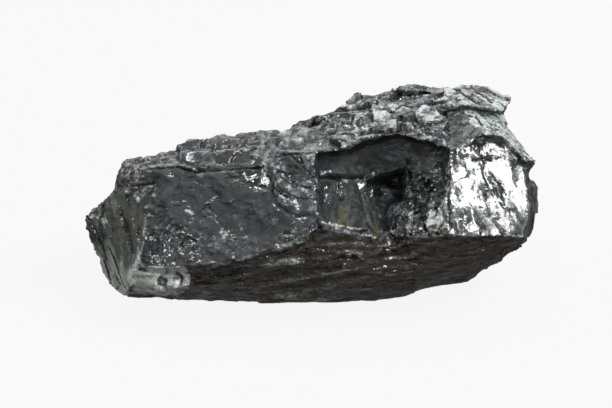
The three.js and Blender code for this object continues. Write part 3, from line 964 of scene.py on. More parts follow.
    Patch(((24.6, 50.6), (27.4, 51.6), (27.6, 47.4), (25.8, 47)), film_and_sheen=0.22),
    Patch(((28.2, 47.6), (34.2, 47.8), (35, 43.4), (29.4, 43.2)), gloss=Gloss.BRIGHT, film_and_sheen=0.2, facets=1.0,
          grit=0.9, ragged=0.7),
    Patch(((17.6, 57.4), (28.4, 58.2), (30.4, 54), (24.6, 52.6), (17.8, 53.6)), gloss=Gloss.BRIGHT,
          film_and_sheen=0.1, facets=0.7, grit=0.8, ragged=0.9),
    Patch(((10, 54.6), (13.6, 55.4), (15, 52.8), (10.6, 52.4)), film_and_sheen=0.62),
    # ribbed wedge: one slanting mirror, its top and foot painted dark as shade over the highlights of their
    # edges, and the notch in it, sunk and painted dark
    Patch(((2.2, 34), (13.6, 33.2), (15.2, 28), (17, 22), (16, 19), (2.2, 20.6)), (0.46, 0.56, 0.69),
          gloss=Gloss.MIRROR, film_and_sheen=0.1, facets=0.05, grit=0.1, reach=0.7, ragged=0.6, soft=0.6),
    Patch(((2, 38.8), (11, 39.6), (12, 33.8), (2, 33.6)), (0.08, -0.16, 0.98), gloss=Gloss.MIRROR,
          film_and_sheen=0.08, facets=0.1, reach=0.6, soft=2.0),
    Patch(((1.8, 34.2), (14, 33.6), (14.2, 31.8), (1.8, 32.2)), gloss=Gloss.MATT, film_and_sheen=0.0, facets=0.05,
          grit=0.1, soft=0.3),
    Patch(((1.6, 22), (11, 20.3), (19.6, 19.8), (19.8, 17.8), (11, 18.2), (1.6, 19.8)), gloss=Gloss.MATT,
          film_and_sheen=0.12, facets=0.3, soft=0.3),
    Patch(((7, 32.4), (8.6, 29.6), (9.2, 27.4), (7.4, 27), (6.6, 29.4)), gloss=Gloss.MATT, film_and_sheen=0.0,
          facets=0.6, rise=-0.3),
    Patch(((7.4, 30.4), (8.2, 29.4), (8.4, 28.2), (7.5, 28)), TO_LIGHT, gloss=Gloss.BRIGHT, film_and_sheen=0.0,
          ragged=0.5),
    Patch(((12, 32.6), (14, 32.4), (16.4, 25), (18.8, 18.6), (16.8, 18.8), (14.6, 22)), gloss=Gloss.BRIGHT,
          film_and_sheen=0.2, facets=0.1, rise=0.2),
    Patch(((19.4, 22.8), (21.8, 23.4), (21.8, 20.6), (20.2, 20.2)), gloss=Gloss.DULL, film_and_sheen=0.3),
    # chipped corner: pale chips, partly painted glints, and glints turned to flash with the main light
    Patch(((22.8, 21.8), (24.4, 24.6), (26.6, 24.8), (27.4, 21.2), (25, 18.9)), gloss=Gloss.BRIGHT,
          film_and_sheen=1.7, facets=0.8, grit=0.6, ragged=0.6),
    Patch(((29.6, 20.6), (31, 24.6), (33.4, 25.4), (34.6, 21), (32.4, 18.9)), gloss=Gloss.BRIGHT, film_and_sheen=1.4,
          facets=0.8, grit=0.6, ragged=0.6),
    Patch(((27, 22.4), (28.2, 23), (30, 19.2), (28.4, 19)), TO_LIGHT, gloss=Gloss.BRIGHT, film_and_sheen=0.0,
          reach=1.3, dome=0.05, smooth=True),
    Patch(((22.2, 20.6), (23.6, 23.6), (25, 22.8), (23.6, 19.9)), TO_LIGHT, gloss=Gloss.BRIGHT, film_and_sheen=0.0,
          reach=1.3, dome=0.05, smooth=True),
    Patch(((31.6, 28.6), (32.8, 28.4), (33.2, 25.6), (32.4, 25.4)), TO_LIGHT, film_and_sheen=0.0, dome=0.05,
          ragged=0.7),
    # mirror: darker ragged bands on its right half
    Patch(((44.6, 35.4), (46.4, 35), (50.2, 27.4), (50.4, 25.4), (48.6, 26.8), (46.8, 29.4)),
          (0.12, 0.2, 0.97), gloss=Gloss.BRIGHT, film_and_sheen=0.14, ragged=0.9, soft=0.6),
    Patch(((36.6, 20.8), (41, 21.6), (41.6, 18.8), (37, 18.7)), (0.14, 0.24, 0.96), gloss=Gloss.BRIGHT,
          film_and_sheen=0.12, reach=0.4, ragged=0.8, soft=0.6),
    Patch(((38.4, 40.4), (43.6, 43.2), (44.6, 41.6), (41.6, 39.2), (39, 38.6)), TO_LIGHT,
          gloss=Gloss.BRIGHT, film_and_sheen=0.0, facets=0.3, reach=1.2, soft=0.6, smooth=True),
    Patch(((43.6, 41.4), (46.6, 42.6), (49.4, 41.2), (50.4, 38.4), (46.4, 38.4), (44, 39.4)), TO_LIGHT,
          gloss=Gloss.BRIGHT, film_and_sheen=0.0, facets=0.2, reach=1.2, ragged=0.6, soft=0.6, smooth=True),
    # belly: pale streaks, partly mineral film and partly painted glints and reflections
    Patch(((-13.5, 10.6), (-8, 11.6), (-2, 11.8), (-2, 11), (-8, 10.2)), film_and_sheen=1.3, facets=0.6, grit=0.4,
          ragged=1.0, soft=0.4),
    Patch(((-6.5, 7.2), (-2, 8.6), (4.2, 8.4), (3, 7), (-2, 6.6)), film_and_sheen=0.7, facets=0.8, grit=0.6,
          ragged=1.2, soft=0.6),
    Patch(((-10.6, 1.6), (-5, 3.6), (0.6, 4.4), (-1, 2.6), (-6, 1.2)), film_and_sheen=0.8, facets=0.8, grit=0.6,
          ragged=1.2, soft=0.6),
    Patch(((4.2, 8.2), (8, 9), (12, 9), (9, 8)), film_and_sheen=1.1, facets=0.6, grit=0.4, ragged=0.8, soft=0.4),
    Patch(((1.5, 3.8), (4, 5.2), (6.8, 5.4), (5, 3.8)), film_and_sheen=0.7, facets=0.6, grit=0.4, ragged=0.8,
          soft=0.4),
    # belly: long lens-shaped lighter scales, turned and painted pale, partly as painted reflection
    Patch(((-5.8, 7.2), (-2.4, 8.5), (1, 8.5), (3.6, 7.6), (0.4, 6.6), (-3.4, 6.5)), (0.12, -0.7, 0.7),
          film_and_sheen=0.3, facets=0.8, grit=0.6, ragged=0.5),
    Patch(((-8, 10.6), (-5.4, 11.2), (-2.4, 11), (-5, 10.3)), (0.2, -0.1, 0.97), gloss=Gloss.BRIGHT,
          film_and_sheen=0.3, facets=0.6),
    Patch(((6.4, 14), (9, 15.8), (13.4, 16.2), (15.4, 15.4), (11, 14.2)), (0.12, -0.66, 0.74), film_and_sheen=0.26,
          facets=0.8, grit=0.6, ragged=0.5),
    Patch(((-3, 3.2), (1.4, 4.3), (7.4, 4.5), (4, 3.4)), film_and_sheen=0.3, facets=0.7, ragged=0.5),
    Patch(((-22.4, 9.4), (-18.6, 10.5), (-13.6, 10.3), (-17.6, 9.2)), film_and_sheen=0.26, facets=0.7, ragged=0.5),
    Patch(((12.4, 7), (16.4, 8.7), (22.4, 9), (18.6, 7.4)), (0.14, -0.72, 0.68), film_and_sheen=0.26, facets=0.8,
          ragged=0.6),
    Patch(((22.8, 9), (26.6, 11.4), (33, 12.4), (29, 10.4)), film_and_sheen=0.22, facets=0.8, ragged=0.6),
    Patch(((38, 8.6), (43.4, 11), (50.4, 12.4), (46.4, 10)), film_and_sheen=0.2, facets=0.8, ragged=0.6),
    Patch(((-36, 3.4), (-28, 4.6), (-18, 5), (-26, 3.6)), film_and_sheen=0.2, facets=0.7, ragged=0.6),
    # slabs: a dark edge under the upper slab's tip, painted as shade, and two duller streaks
    Patch(((49.8, 50.4), (52.6, 53.6), (53.6, 53), (50.8, 49.4)), gloss=Gloss.MATT, film_and_sheen=0.0, facets=0.1,
          ragged=0.2),
    Patch(((39.4, 57.4), (40.6, 57.6), (46.4, 53), (45, 52.6)), film_and_sheen=0.12, ragged=0.6, soft=0.6),
    Patch(((44.6, 57.2), (45.4, 57.2), (49, 53.6), (48.2, 53.2)), film_and_sheen=0.12, ragged=0.5, soft=0.6),
)


# ---- Shader graph ----

Number = float | int


class Value:
    """A number that a shader node gives, with the usual operators."""

    def __init__(self, graph: "Graph", socket: bpy.types.NodeSocket) -> None:
        """Wraps an output socket of a graph."""
        self.graph = graph
        self.socket = socket

    def _with(self, operation: str, *others: "Value | Number", clamp: bool = False) -> "Value":
        """Adds a Math node on this value and the others."""
        values = dict(enumerate((self, *others)))
        return self.graph.add("ShaderNodeMath", {"operation": operation, "use_clamp": clamp}, values)

    def __add__(self, other: "Value | Number") -> "Value":
        """Returns the sum."""
        return self._with("ADD", other)

    __radd__ = __add__

    def __mul__(self, other: "Value | Number") -> "Value":
        """Returns the product."""
        return self._with("MULTIPLY", other)

    __rmul__ = __mul__

    def __sub__(self, other: "Value | Number") -> "Value":
        """Returns this less the other."""
        return self._with("SUBTRACT", other)

    def clamped(self) -> "Value":
        """Returns this kept from 0 to 1."""
        return self._with("ADD", 0.0, clamp=True)

    def between(self, low: Number, high: Number) -> "Value":
        """Returns 0 at low, 1 at high and a smooth rise between them."""
        values = {"Value": self, "From Min": low, "From Max": high}
        return self.graph.add("ShaderNodeMapRange", {"interpolation_type": "SMOOTHSTEP"}, values)


class Graph:
    """The nodes of one material."""

    def __init__(self, material: bpy.types.Material | bpy.types.World) -> None:
        """Empties the node tree, ready to be filled.

        Args:
            material: the material, or the air round the scene.
        """
        material.use_nodes = True
        self.tree = material.node_tree
        self.tree.nodes.clear()

    def add(
        self, kind: str, settings: dict[str, object], values: dict[str | int, object], output: str | int = 0
    ) -> Value:
        """Adds one node.

        Args:
            kind: the node's type.
            settings: its properties, set first; a ramp's stops go under "stops".
            values: what its inputs hold: a Value, a number, a colour or a vector.
            output: which output is given back.

        Returns:
            The output.
        """
        node = self.tree.nodes.new(kind)
        for name, setting in settings.items():
            if name == "stops":
                self._set_stops(node, setting)
            else:
                setattr(node, name, setting)
        for name, value in values.items():
            if isinstance(value, Value):
                self.tree.links.new(value.socket, node.inputs[name])
            else:
                node.inputs[name].default_value = value
        return Value(self, node.outputs[output]) if len(node.outputs) else Value(self, None)

    @staticmethod
    def _set_stops(node: bpy.types.Node, stops: tuple[tuple[float, Colour], ...]) -> None:
        """Gives a colour ramp its stops.

        Args:
            node: the ramp.
            stops: the place, from 0 to 1, and the colour of each.
        """
        elements = node.color_ramp.elements
        while len(elements) < len(stops):
            elements.new(1.0)
        for element, (position, colour) in zip(elements, stops):
            element.position = position
            element.color = colour

    def mix(self, factor: Value | Number, first: object, second: object) -> Value:
        """Returns a colour that goes from the first to the second."""
        settings = {"data_type": "RGBA", "clamp_factor": True}
        return self.add("ShaderNodeMix", settings, {0: factor, 6: first, 7: second}, 2)

    def vector(self, operation: str, first: object, *others: object, scale: Value | None = None) -> Value:
        """Adds a Vector Math node.

        Args:
            operation: what it does.
            first: its first input: a Value, a colour or a vector.
            others: its other inputs.
            scale: the scale, where the operation has one.

        Returns:
            The result.
        """
        values = dict(enumerate((first, *others)))
        if scale is not None:
            values["Scale"] = scale
        return self.add("ShaderNodeVectorMath", {"operation": operation}, values)

    def noise(self, place: Value, scale: float, detail: float = 3.0, roughness: float = 0.55) -> Value:
        """Returns noise from 0 to 1 over the piece."""
        values = {"Vector": place, "Scale": scale, "Detail": detail, "Roughness": roughness}
        return self.add("ShaderNodeTexNoise", {}, values)

    def stretched(self, place: Value, scale: Point3, turn: Point3 = (0, 0, 0)) -> Value:
        """Returns places with their pattern turned (degrees) and scaled."""
        values = {"Vector": place, "Scale": scale, "Rotation": tuple(math.radians(a) for a in turn)}
        return self.add("ShaderNodeMapping", {"vector_type": "TEXTURE"}, values)


def grey(value: float, blue: float = 0.0) -> Colour:
    """Returns a dark colour of one brightness, with a lean towards blue."""
    return (value, value * (1 + 0.3 * blue), value * (1 + blue), 1.0)


@dataclass(frozen=True)
class CoalFinish:
    """Hard coal: black, from mirror-bright bands to dull ones, with pale film that is partly painted sheen,
    rusty specks, and painted shade in its gaps.
    """

    index: float = 1.72  # of refraction
    dark: float = 0.007
    light: float = 0.020
    dull: float = 0.42  # roughness of the dullest break
    bright: float = 0.07  # roughness of the brightest
    warm_tint: Colour = (0.027, 0.017, 0.010, 1)
    green_tint: Colour = (0.034, 0.038, 0.030, 1)
    cool_film_and_sheen: Colour = (0.53, 0.59, 0.575, 1)
    earthy_film_and_sheen: Colour = (0.54, 0.56, 0.52, 1)
    rust_tint: Colour = (0.30, 0.10, 0.02, 1)
    heat_tints: tuple[tuple[float, Colour], ...] = (
        (0.30, (0.30, 0.16, 0.02, 1)),
        (0.5, (0.10, 0.16, 0.05, 1)),
        (0.7, (0.03, 0.09, 0.20, 1)),
    )
    facets: tuple[tuple[float, float], ...] = ((170, 0.34), (420, 0.40))  # how many per m, and their lean
    grains: tuple[tuple[float, float], ...] = ((1000, 0.50), (2200, 0.36))  # how many per m, and their lean
    lean: float = 2.1  # how much stronger all of them lean
    wander: float = 0.0018  # m, how far their borders stray

    def build(self) -> bpy.types.Material:
        """Builds the material.

        Returns:
            The material.
        """
        material = bpy.data.materials.new("coal")
        graph = Graph(material)
        place = graph.add("ShaderNodeTexCoord", {}, {}, "Object")
        gloss, film_and_sheen, warm = self._painted(graph, "finish")
        green, rust, heat = self._painted(graph, "tints")
        relief = self._painted(graph, "relief")
        specks = graph.noise(place, 1100, 3, 0.65)
        # Painted sheen: the pale film lightens the base colour where there is mineral film and where a face
        # would catch light.
        dust_and_sheen = (film_and_sheen * (0.35 + 0.85 * specks.between(0.36, 0.64))).clamped()
        worn = graph.noise(place, 600, 4, 0.6).between(0.45, 0.65)
        shine = (gloss - 0.2 * worn - 0.25 * dust_and_sheen).clamped()
        patches = graph.noise(place, 160, 4).between(0.35, 0.65)
        base = graph.mix(patches, grey(self.dark), grey(self.light, blue=0.25))
        base = graph.mix(warm * 0.85, base, self.warm_tint)
        base = graph.mix(green * 0.7, base, self.green_tint)
        earthy = graph.noise(place, 90, 3).between(0.42, 0.62)
        base = graph.mix(dust_and_sheen, base, graph.mix(earthy, self.cool_film_and_sheen, self.earthy_film_and_sheen))
        base = graph.mix(rust * specks.between(0.3, 0.6), base, self.rust_tint)
        sheen = {"Fac": graph.noise(place, 400, 2)}
        base = graph.mix(heat, base, graph.add("ShaderNodeValToRGB", {"stops": self.heat_tints}, sheen))
        broken = graph.add("ShaderNodeBsdfPrincipled", {}, {
            "Base Color": base,
            "Roughness": self.dull + (self.bright - self.dull) * shine,
            "IOR": self.index,
            "Normal": self._relief(graph, place, *relief),
        })
        # Painted shade: where almost no gloss is painted, in cracks, gaps between flakes and dark patches,
        # a plain dark diffuse stands in for the shade there.
        painted_shade = graph.add("ShaderNodeBsdfDiffuse", {}, {"Color": grey(self.dark)})
        painted_shade_share = gloss.between(0.10, 0.015)  # 1 where almost no gloss is painted
        surface = graph.add("ShaderNodeMixShader", {}, {"Fac": painted_shade_share, 1: broken, 2: painted_shade})
        graph.add("ShaderNodeOutputMaterial", {}, {"Surface": surface})
        return material

    @staticmethod
    def _painted(graph: Graph, layer: str) -> tuple[Value, Value, Value]:
        """Reads one painted layer of the piece.

        Args:
            graph: the material's nodes.
            layer: the layer's name.

        Returns:
            The three masks painted in it.
        """
        colour = graph.add("ShaderNodeAttribute", {"attribute_name": layer}, {}, "Color")
        split = graph.add("ShaderNodeSeparateColor", {}, {"Color": colour})
        sockets = split.socket.node.outputs
        return tuple(Value(graph, sockets[index]) for index in range(3))

    def _relief(self, graph: Graph, place: Value, grit: Value, facets: Value, upright: Value) -> Value:
        """Makes the finest breaks: small flat facets and tiny grains, each turned its own way.

        Args:
            graph: the material's nodes.
            place: where each point lies.
            grit: how strongly the grains lean.
            facets: how strongly the facets lean.
            upright: 1 where they stand across the bedding.

        Returns:
            The normal.
        """
        wander = {"Vector": place, "Scale": 500, "Detail": 3.0}
        wandered = graph.add("ShaderNodeTexNoise", {}, wander, "Color")
        strayed = graph.vector("MULTIPLY_ADD", wandered, (self.wander,) * 3, place)
        lying = graph.stretched(strayed, (2.4, 1.2, 0.8), (0, 5, 8))
        standing = graph.stretched(strayed, (0.8, 1.2, 2.4), (0, -12, 0))
        grained = graph.mix(upright, lying, standing)
        normal = graph.add("ShaderNodeNewGeometry", {}, {}, "Normal")
        for amount, sizes in ((facets, self.facets), (grit, self.grains)):
            for scale, tilt in sizes:
                cells = {"Vector": grained, "Scale": scale}
                grains = graph.add("ShaderNodeTexVoronoi", {"feature": "F1"}, cells, "Color")
                lean = graph.vector("SUBTRACT", grains, (0.5, 0.5, 0.5))
                lean = graph.vector("SCALE", lean, scale=amount * tilt * self.lean)
                normal = graph.vector("ADD", normal, lean)
        return graph.add("ShaderNodeBump", {}, {
            "Height": graph.noise(graph.stretched(place, (2.0, 1.0, 0.6), (0, 0, 10)), 500, 4, 0.6),
            "Strength": 0.25,
            "Distance": 0.0003,
            "Normal": graph.vector("NORMALIZE", normal),
        })


# ---- The lump ----


@dataclass(frozen=True)
class Stain:
    """A coloured streak on the show side.

    Attributes:
        line: [across, up] places in order.
        width: mm.
        coat: the tint that it is painted into.
        strength: from 0 to 1.
    """

    line: Outline
    width: float
    coat: Coat
    strength: float = 0.8

    def share(self, points: np.ndarray) -> np.ndarray:
        """Gives the stain's strength at each show point."""
        reach = line_distance(points[:, :2], self.line) + 0.7 * self.width * rough(points, 1.4, 81)
        return self.strength * (1 - ramp(reach, 0.3 * self.width, self.width))


STAINS = (
    Stain(((58.6, 24.6), (58.8, 23.4)), 0.8, Coat.RUST),
    Stain(((10.4, 24), (10.6, 23)), 0.4, Coat.RUST, 0.25),
    Stain(((7.0, 20.8), (8.4, 22.4), (8.0, 25.0)), 1.5, Coat.HEAT, 0.36),
    Stain(((9.6, 21.2), (11.4, 22.6)), 1.3, Coat.HEAT, 0.28),
    Stain(((16.2, 18.8), (17.4, 21.4)), 0.9, Coat.HEAT, 0.40),
)


class Links:
    """The edges that join a mesh's points."""

    def __init__(self, mesh: bpy.types.Mesh) -> None:
        """Reads the edges.

        Args:
            mesh: the mesh.
        """
        self.count = len(mesh.vertices)
        ends = np.empty(len(mesh.edges) * 2, dtype=np.int64)
        mesh.edges.foreach_get("vertices", ends)
        self.first, self.second = ends.reshape(-1, 2).T
        self.degree = np.bincount(ends, minlength=self.count)

    def around(self, values: np.ndarray) -> np.ndarray:
        """Gives the mean of each point's neighbours.

        Args:
            values: one row per point.

        Returns:
            One row per point.
        """
        columns = [
            np.bincount(self.first, column[self.second], self.count)
            + np.bincount(self.second, column[self.first], self.count)
            for column in values.T
        ]
        return np.stack(columns, axis=1) / np.maximum(self.degree, 1)[:, None]


def rows_of(items: bpy.types.bpy_prop_collection, name: str) -> np.ndarray:
    """Reads a property of three numbers from many items.

    Args:
        items: a mesh's points or faces.
        name: the property.

    Returns:
        One row per item.
    """
    values = np.empty(len(items) * 3)
    items.foreach_get(name, values)
    return values.reshape(-1, 3)


def places_of(mesh: bpy.types.Mesh) -> np.ndarray:
    """Returns a mesh's points in the show frame."""
    return SHOW.from_world(rows_of(mesh.vertices, "co"))


def normals_of(mesh: bpy.types.Mesh) -> np.ndarray:
    """Returns a mesh's point normals in the show frame."""
    return rows_of(mesh.vertices, "normal") @ SHOW.axes().T


def showing(normals: np.ndarray) -> np.ndarray:
    """Returns 1 where the surface faces the show side, 0 where it faces the back and a rise between."""
    return ramp(normals[:, 2], -0.12, 0.12)


@dataclass(frozen=True)
class Wear:
    """How the finish differs between edges, ridges, hollows and cracks, with painted highlight on ridges
    and painted shade in hollows and cracks.

    Attributes:
        drift: how far gloss drifts over the whole lump.
        edge_gloss: gloss that a sharp edge gains.
        edge_film: film that a sharp edge gains.
        thin_film: the part of a thin film that shows on the level; more shows on ridges and less in
            hollows, as painted highlight and shade.
        ridge_highlight: painted highlight, film that the highest ridges gain.
        hollow_loss: the part of gloss, grit and facets that a hollow loses; where little gloss is left, it
            shows as painted shade.
        crack_loss: the part of film that a crack loses, which darkens it as painted shade.
        most_film: the most film anywhere.
    """

    drift: float = 0.16
    edge_gloss: float = 0.2
    edge_film: float = 0.22
    thin_film: float = 0.62
    ridge_highlight: float = 0.13
    hollow_loss: float = 0.6
    crack_loss: float = 0.85
    most_film: float = 1.6


class Surface:
    """The points of the lump's surface, in the show frame, while it is broken up and painted.

    Attributes:
        points: rows of places.
        normals: the way that each point moves.
        onshow: 1 for a point on the show side, 0 for one on the back.
        edges: how sharp an edge each point lies on, from 0 to 1.
        shares: each face's share of every point, with what is left as "elsewhere".
        patches: each patch's share of every point.
        coats: the paint, one column per coat.
    """

    def __init__(self, mesh: bpy.types.Mesh) -> None:
        """Measures a mesh.

        Args:
            mesh: the mesh.
        """
        self.links = Links(mesh)
        self.points, self.normals = places_of(mesh), normals_of(mesh)
        for _ in range(4):
            self.normals = self.links.around(self.normals) + self.normals
            self.normals /= np.linalg.norm(self.normals, axis=1)[:, None]
        self.onshow = showing(self.normals)
        self.edges = ramp(self._proud(near=0, far=8), 0.10, 0.30)
        shares = {name: face.share(self.points) * self.onshow for name, face in FACES.items()}
        total = sum(shares.values())
        self.shares = {name: share / np.maximum(total, 1.0) for name, share in shares.items()}
        self.shares["elsewhere"] = np.clip(1.0 - total, 0, 1)
        self.patches: list[np.ndarray] = []
        self.coats = np.zeros((len(self.points), len(Coat)))

    def _proud(self, near: int, far: int) -> np.ndarray:
        """Works out how far each point stands above the surface round it.

        Args:
            near: how many passes even out the points first.
            far: how many more passes make the surface that they are held against.

        Returns:
            Millimetres for each point.
        """
        close = self.points
        for _ in range(near):
            close = self.links.around(close)
        wide = close
        for _ in range(far):
            wide = self.links.around(wide)
        return ((close - wide) * self.normals).sum(axis=1)

    def _parts(self) -> Iterator[tuple[Face, np.ndarray, np.ndarray]]:
        """Gives each face in turn, the points that it has more than a trace of and its share of them."""
        trace = 0.003
        for name, share in self.shares.items():
            part = share > trace
            yield FACES.get(name, BREAK_ALL_OVER), part, share[part]

    def break_up(self, bed: float) -> None:
        """Moves the points by flakes, arcs, cracks and small chips along the edges.

        Args:
            bed: mm above the ground over which the surface settles to its flat bed.
        """
        height = np.zeros(len(self.points))
        for face, part, share in self._parts():
            for layer in face.layers:
                height[part] += share * layer.heights(self.points[part])
        shown = self.onshow > 0.5
        for mark in (*RIPPLES, *CRACKS):
            height[shown] += mark.heights(self.points[shown])
        height += self.edges * EDGE_CHIPS.heights(self.points)
        height *= ramp(SHOW.to_world(self.points)[:, 2] * 1000, 0.05, bed)
        self.points = self.points + height[:, None] * self.normals

    def chip(self) -> None:
        """Turns each patch's face its own way."""
        for patch in PATCHES:
            near = (self.onshow > 0.05) & close_by(self.points, patch.corners, margin=2)
            share = np.zeros(len(self.points))
            share[near] = patch.share(self.points[near]) * self.onshow[near]
            if share.any():
                lift = patch.lift(self.points[near], self.normals[near], share[near])
                self.points[near] += lift[:, None] * self.normals[near]
            self.patches.append(share)

    def paint(self, wear: Wear) -> None:
        """Paints gloss, film and tints, thicker on ridges than in hollows, as painted highlight and shade,
        and darkens the cracks as painted shade.

        Args:
            wear: how edges, ridges, hollows and cracks differ.
        """
        shade = self._paint_faces()
        self._paint_patches()
        # Painted shade: each crack loses gloss and film, so that it shows dark.
        for crack in CRACKS:
            share = (crack.share(self.points) * self.onshow)[:, None]
            self.coats[:, :2] *= 1 - share * (crack.dark, wear.crack_loss)
        for stain in STAINS:
            self.coats[:, stain.coat] += stain.share(self.points) * self.onshow
        self._weather(wear, shade)

    def _paint_faces(self) -> np.ndarray:
        """Lays each face's finish on its points.

        Returns:
            How much paler or darker than its face each point's flake is, with painted shade in the gaps
            between flakes.
        """
        shade = np.ones(len(self.points))
        for face, part, share in self._parts():
            self.coats[part] += share[:, None] * face.finish.levels(self.points[part])
            shade[part] += share * (face.shades(self.points[part]) - 1)
        return shade

    def _paint_patches(self) -> None:
        """Lays each patch's finish over what is there."""
        cloud = 0.4 + 1.2 * ramp(rough(self.points, 2.2, 203), -0.5, 0.6)
        for patch, share in zip(PATCHES, self.patches):
            own = {
                Coat.GLOSS: patch.gloss.value,
                Coat.FILM: patch.film_and_sheen * cloud,
                Coat.GREEN: patch.green,
                Coat.GRIT: patch.grit,
                Coat.FACETS: patch.facets,
            }
            for coat, level in own.items():
                self.coats[:, coat] += share * (level - self.coats[:, coat])

    def _weather(self, wear: Wear, shade: np.ndarray) -> None:
        """Brightens edges, paints highlight as pale film on what stands proud, and dulls the hollows and
        the gaps between flakes, painting shade into them.

        Args:
            wear: how much of each.
            shade: how much paler or darker than its face each point's flake is, with painted shade in the
                gaps between flakes.
        """
        points, edges, proud = self.points, self.edges, self._proud(near=1, far=5)
        gloss, film_and_sheen = self.coats[:, Coat.GLOSS], self.coats[:, Coat.FILM]
        gloss += wear.drift * rough(points, 7.0, 201) + wear.edge_gloss * edges
        film_and_sheen += wear.edge_film * edges * ramp(rough(points, 1.6, 202), -0.3, 0.4)
        thick = np.maximum(film_and_sheen - 1, 0)
        # Painted highlight and shade: a thin film shows most on what stands proud and least in the hollows.
        thin = wear.thin_film * (film_and_sheen - thick) * (0.15 + 1.5 * ramp(proud, -0.08, 0.10))
        film_and_sheen[:] = (thin + thick) * shade
        # Painted highlight: the highest ridges gain pale film.
        film_and_sheen += wear.ridge_highlight * ramp(proud, 0.07, 0.16) * ramp(rough(points, 3.0, 204), -0.2, 0.4)
        # Painted shade: hollows and the gaps between flakes lose gloss; where almost none is left, the
        # plain dark diffuse shows.
        kept = 1 - wear.hollow_loss * ramp(-proud, 0.04, 0.12)
        gloss *= kept * ramp(shade, 0.12, 0.42)
        self.coats[:, Coat.GRIT:Coat.UPRIGHT] *= kept[:, None]
        most = np.ones(len(Coat))
        most[Coat.FILM] = wear.most_film
        self.coats = np.clip(self.coats, 0, most)

    def write_paint(self, mesh: bpy.types.Mesh) -> None:
        """Writes the coats into colour layers, three to a layer.

        Args:
            mesh: the mesh that gets the layers.
        """
        for index, name in enumerate(("finish", "tints", "relief")):
            layer = mesh.color_attributes.new(name=name, type="FLOAT_COLOR", domain="POINT")
            values = np.ones((len(self.coats), 4), dtype=np.float32)
            values[:, :3] = self.coats[:, 3 * index:3 * index + 3]
            layer.data.foreach_set("color", values.ravel())


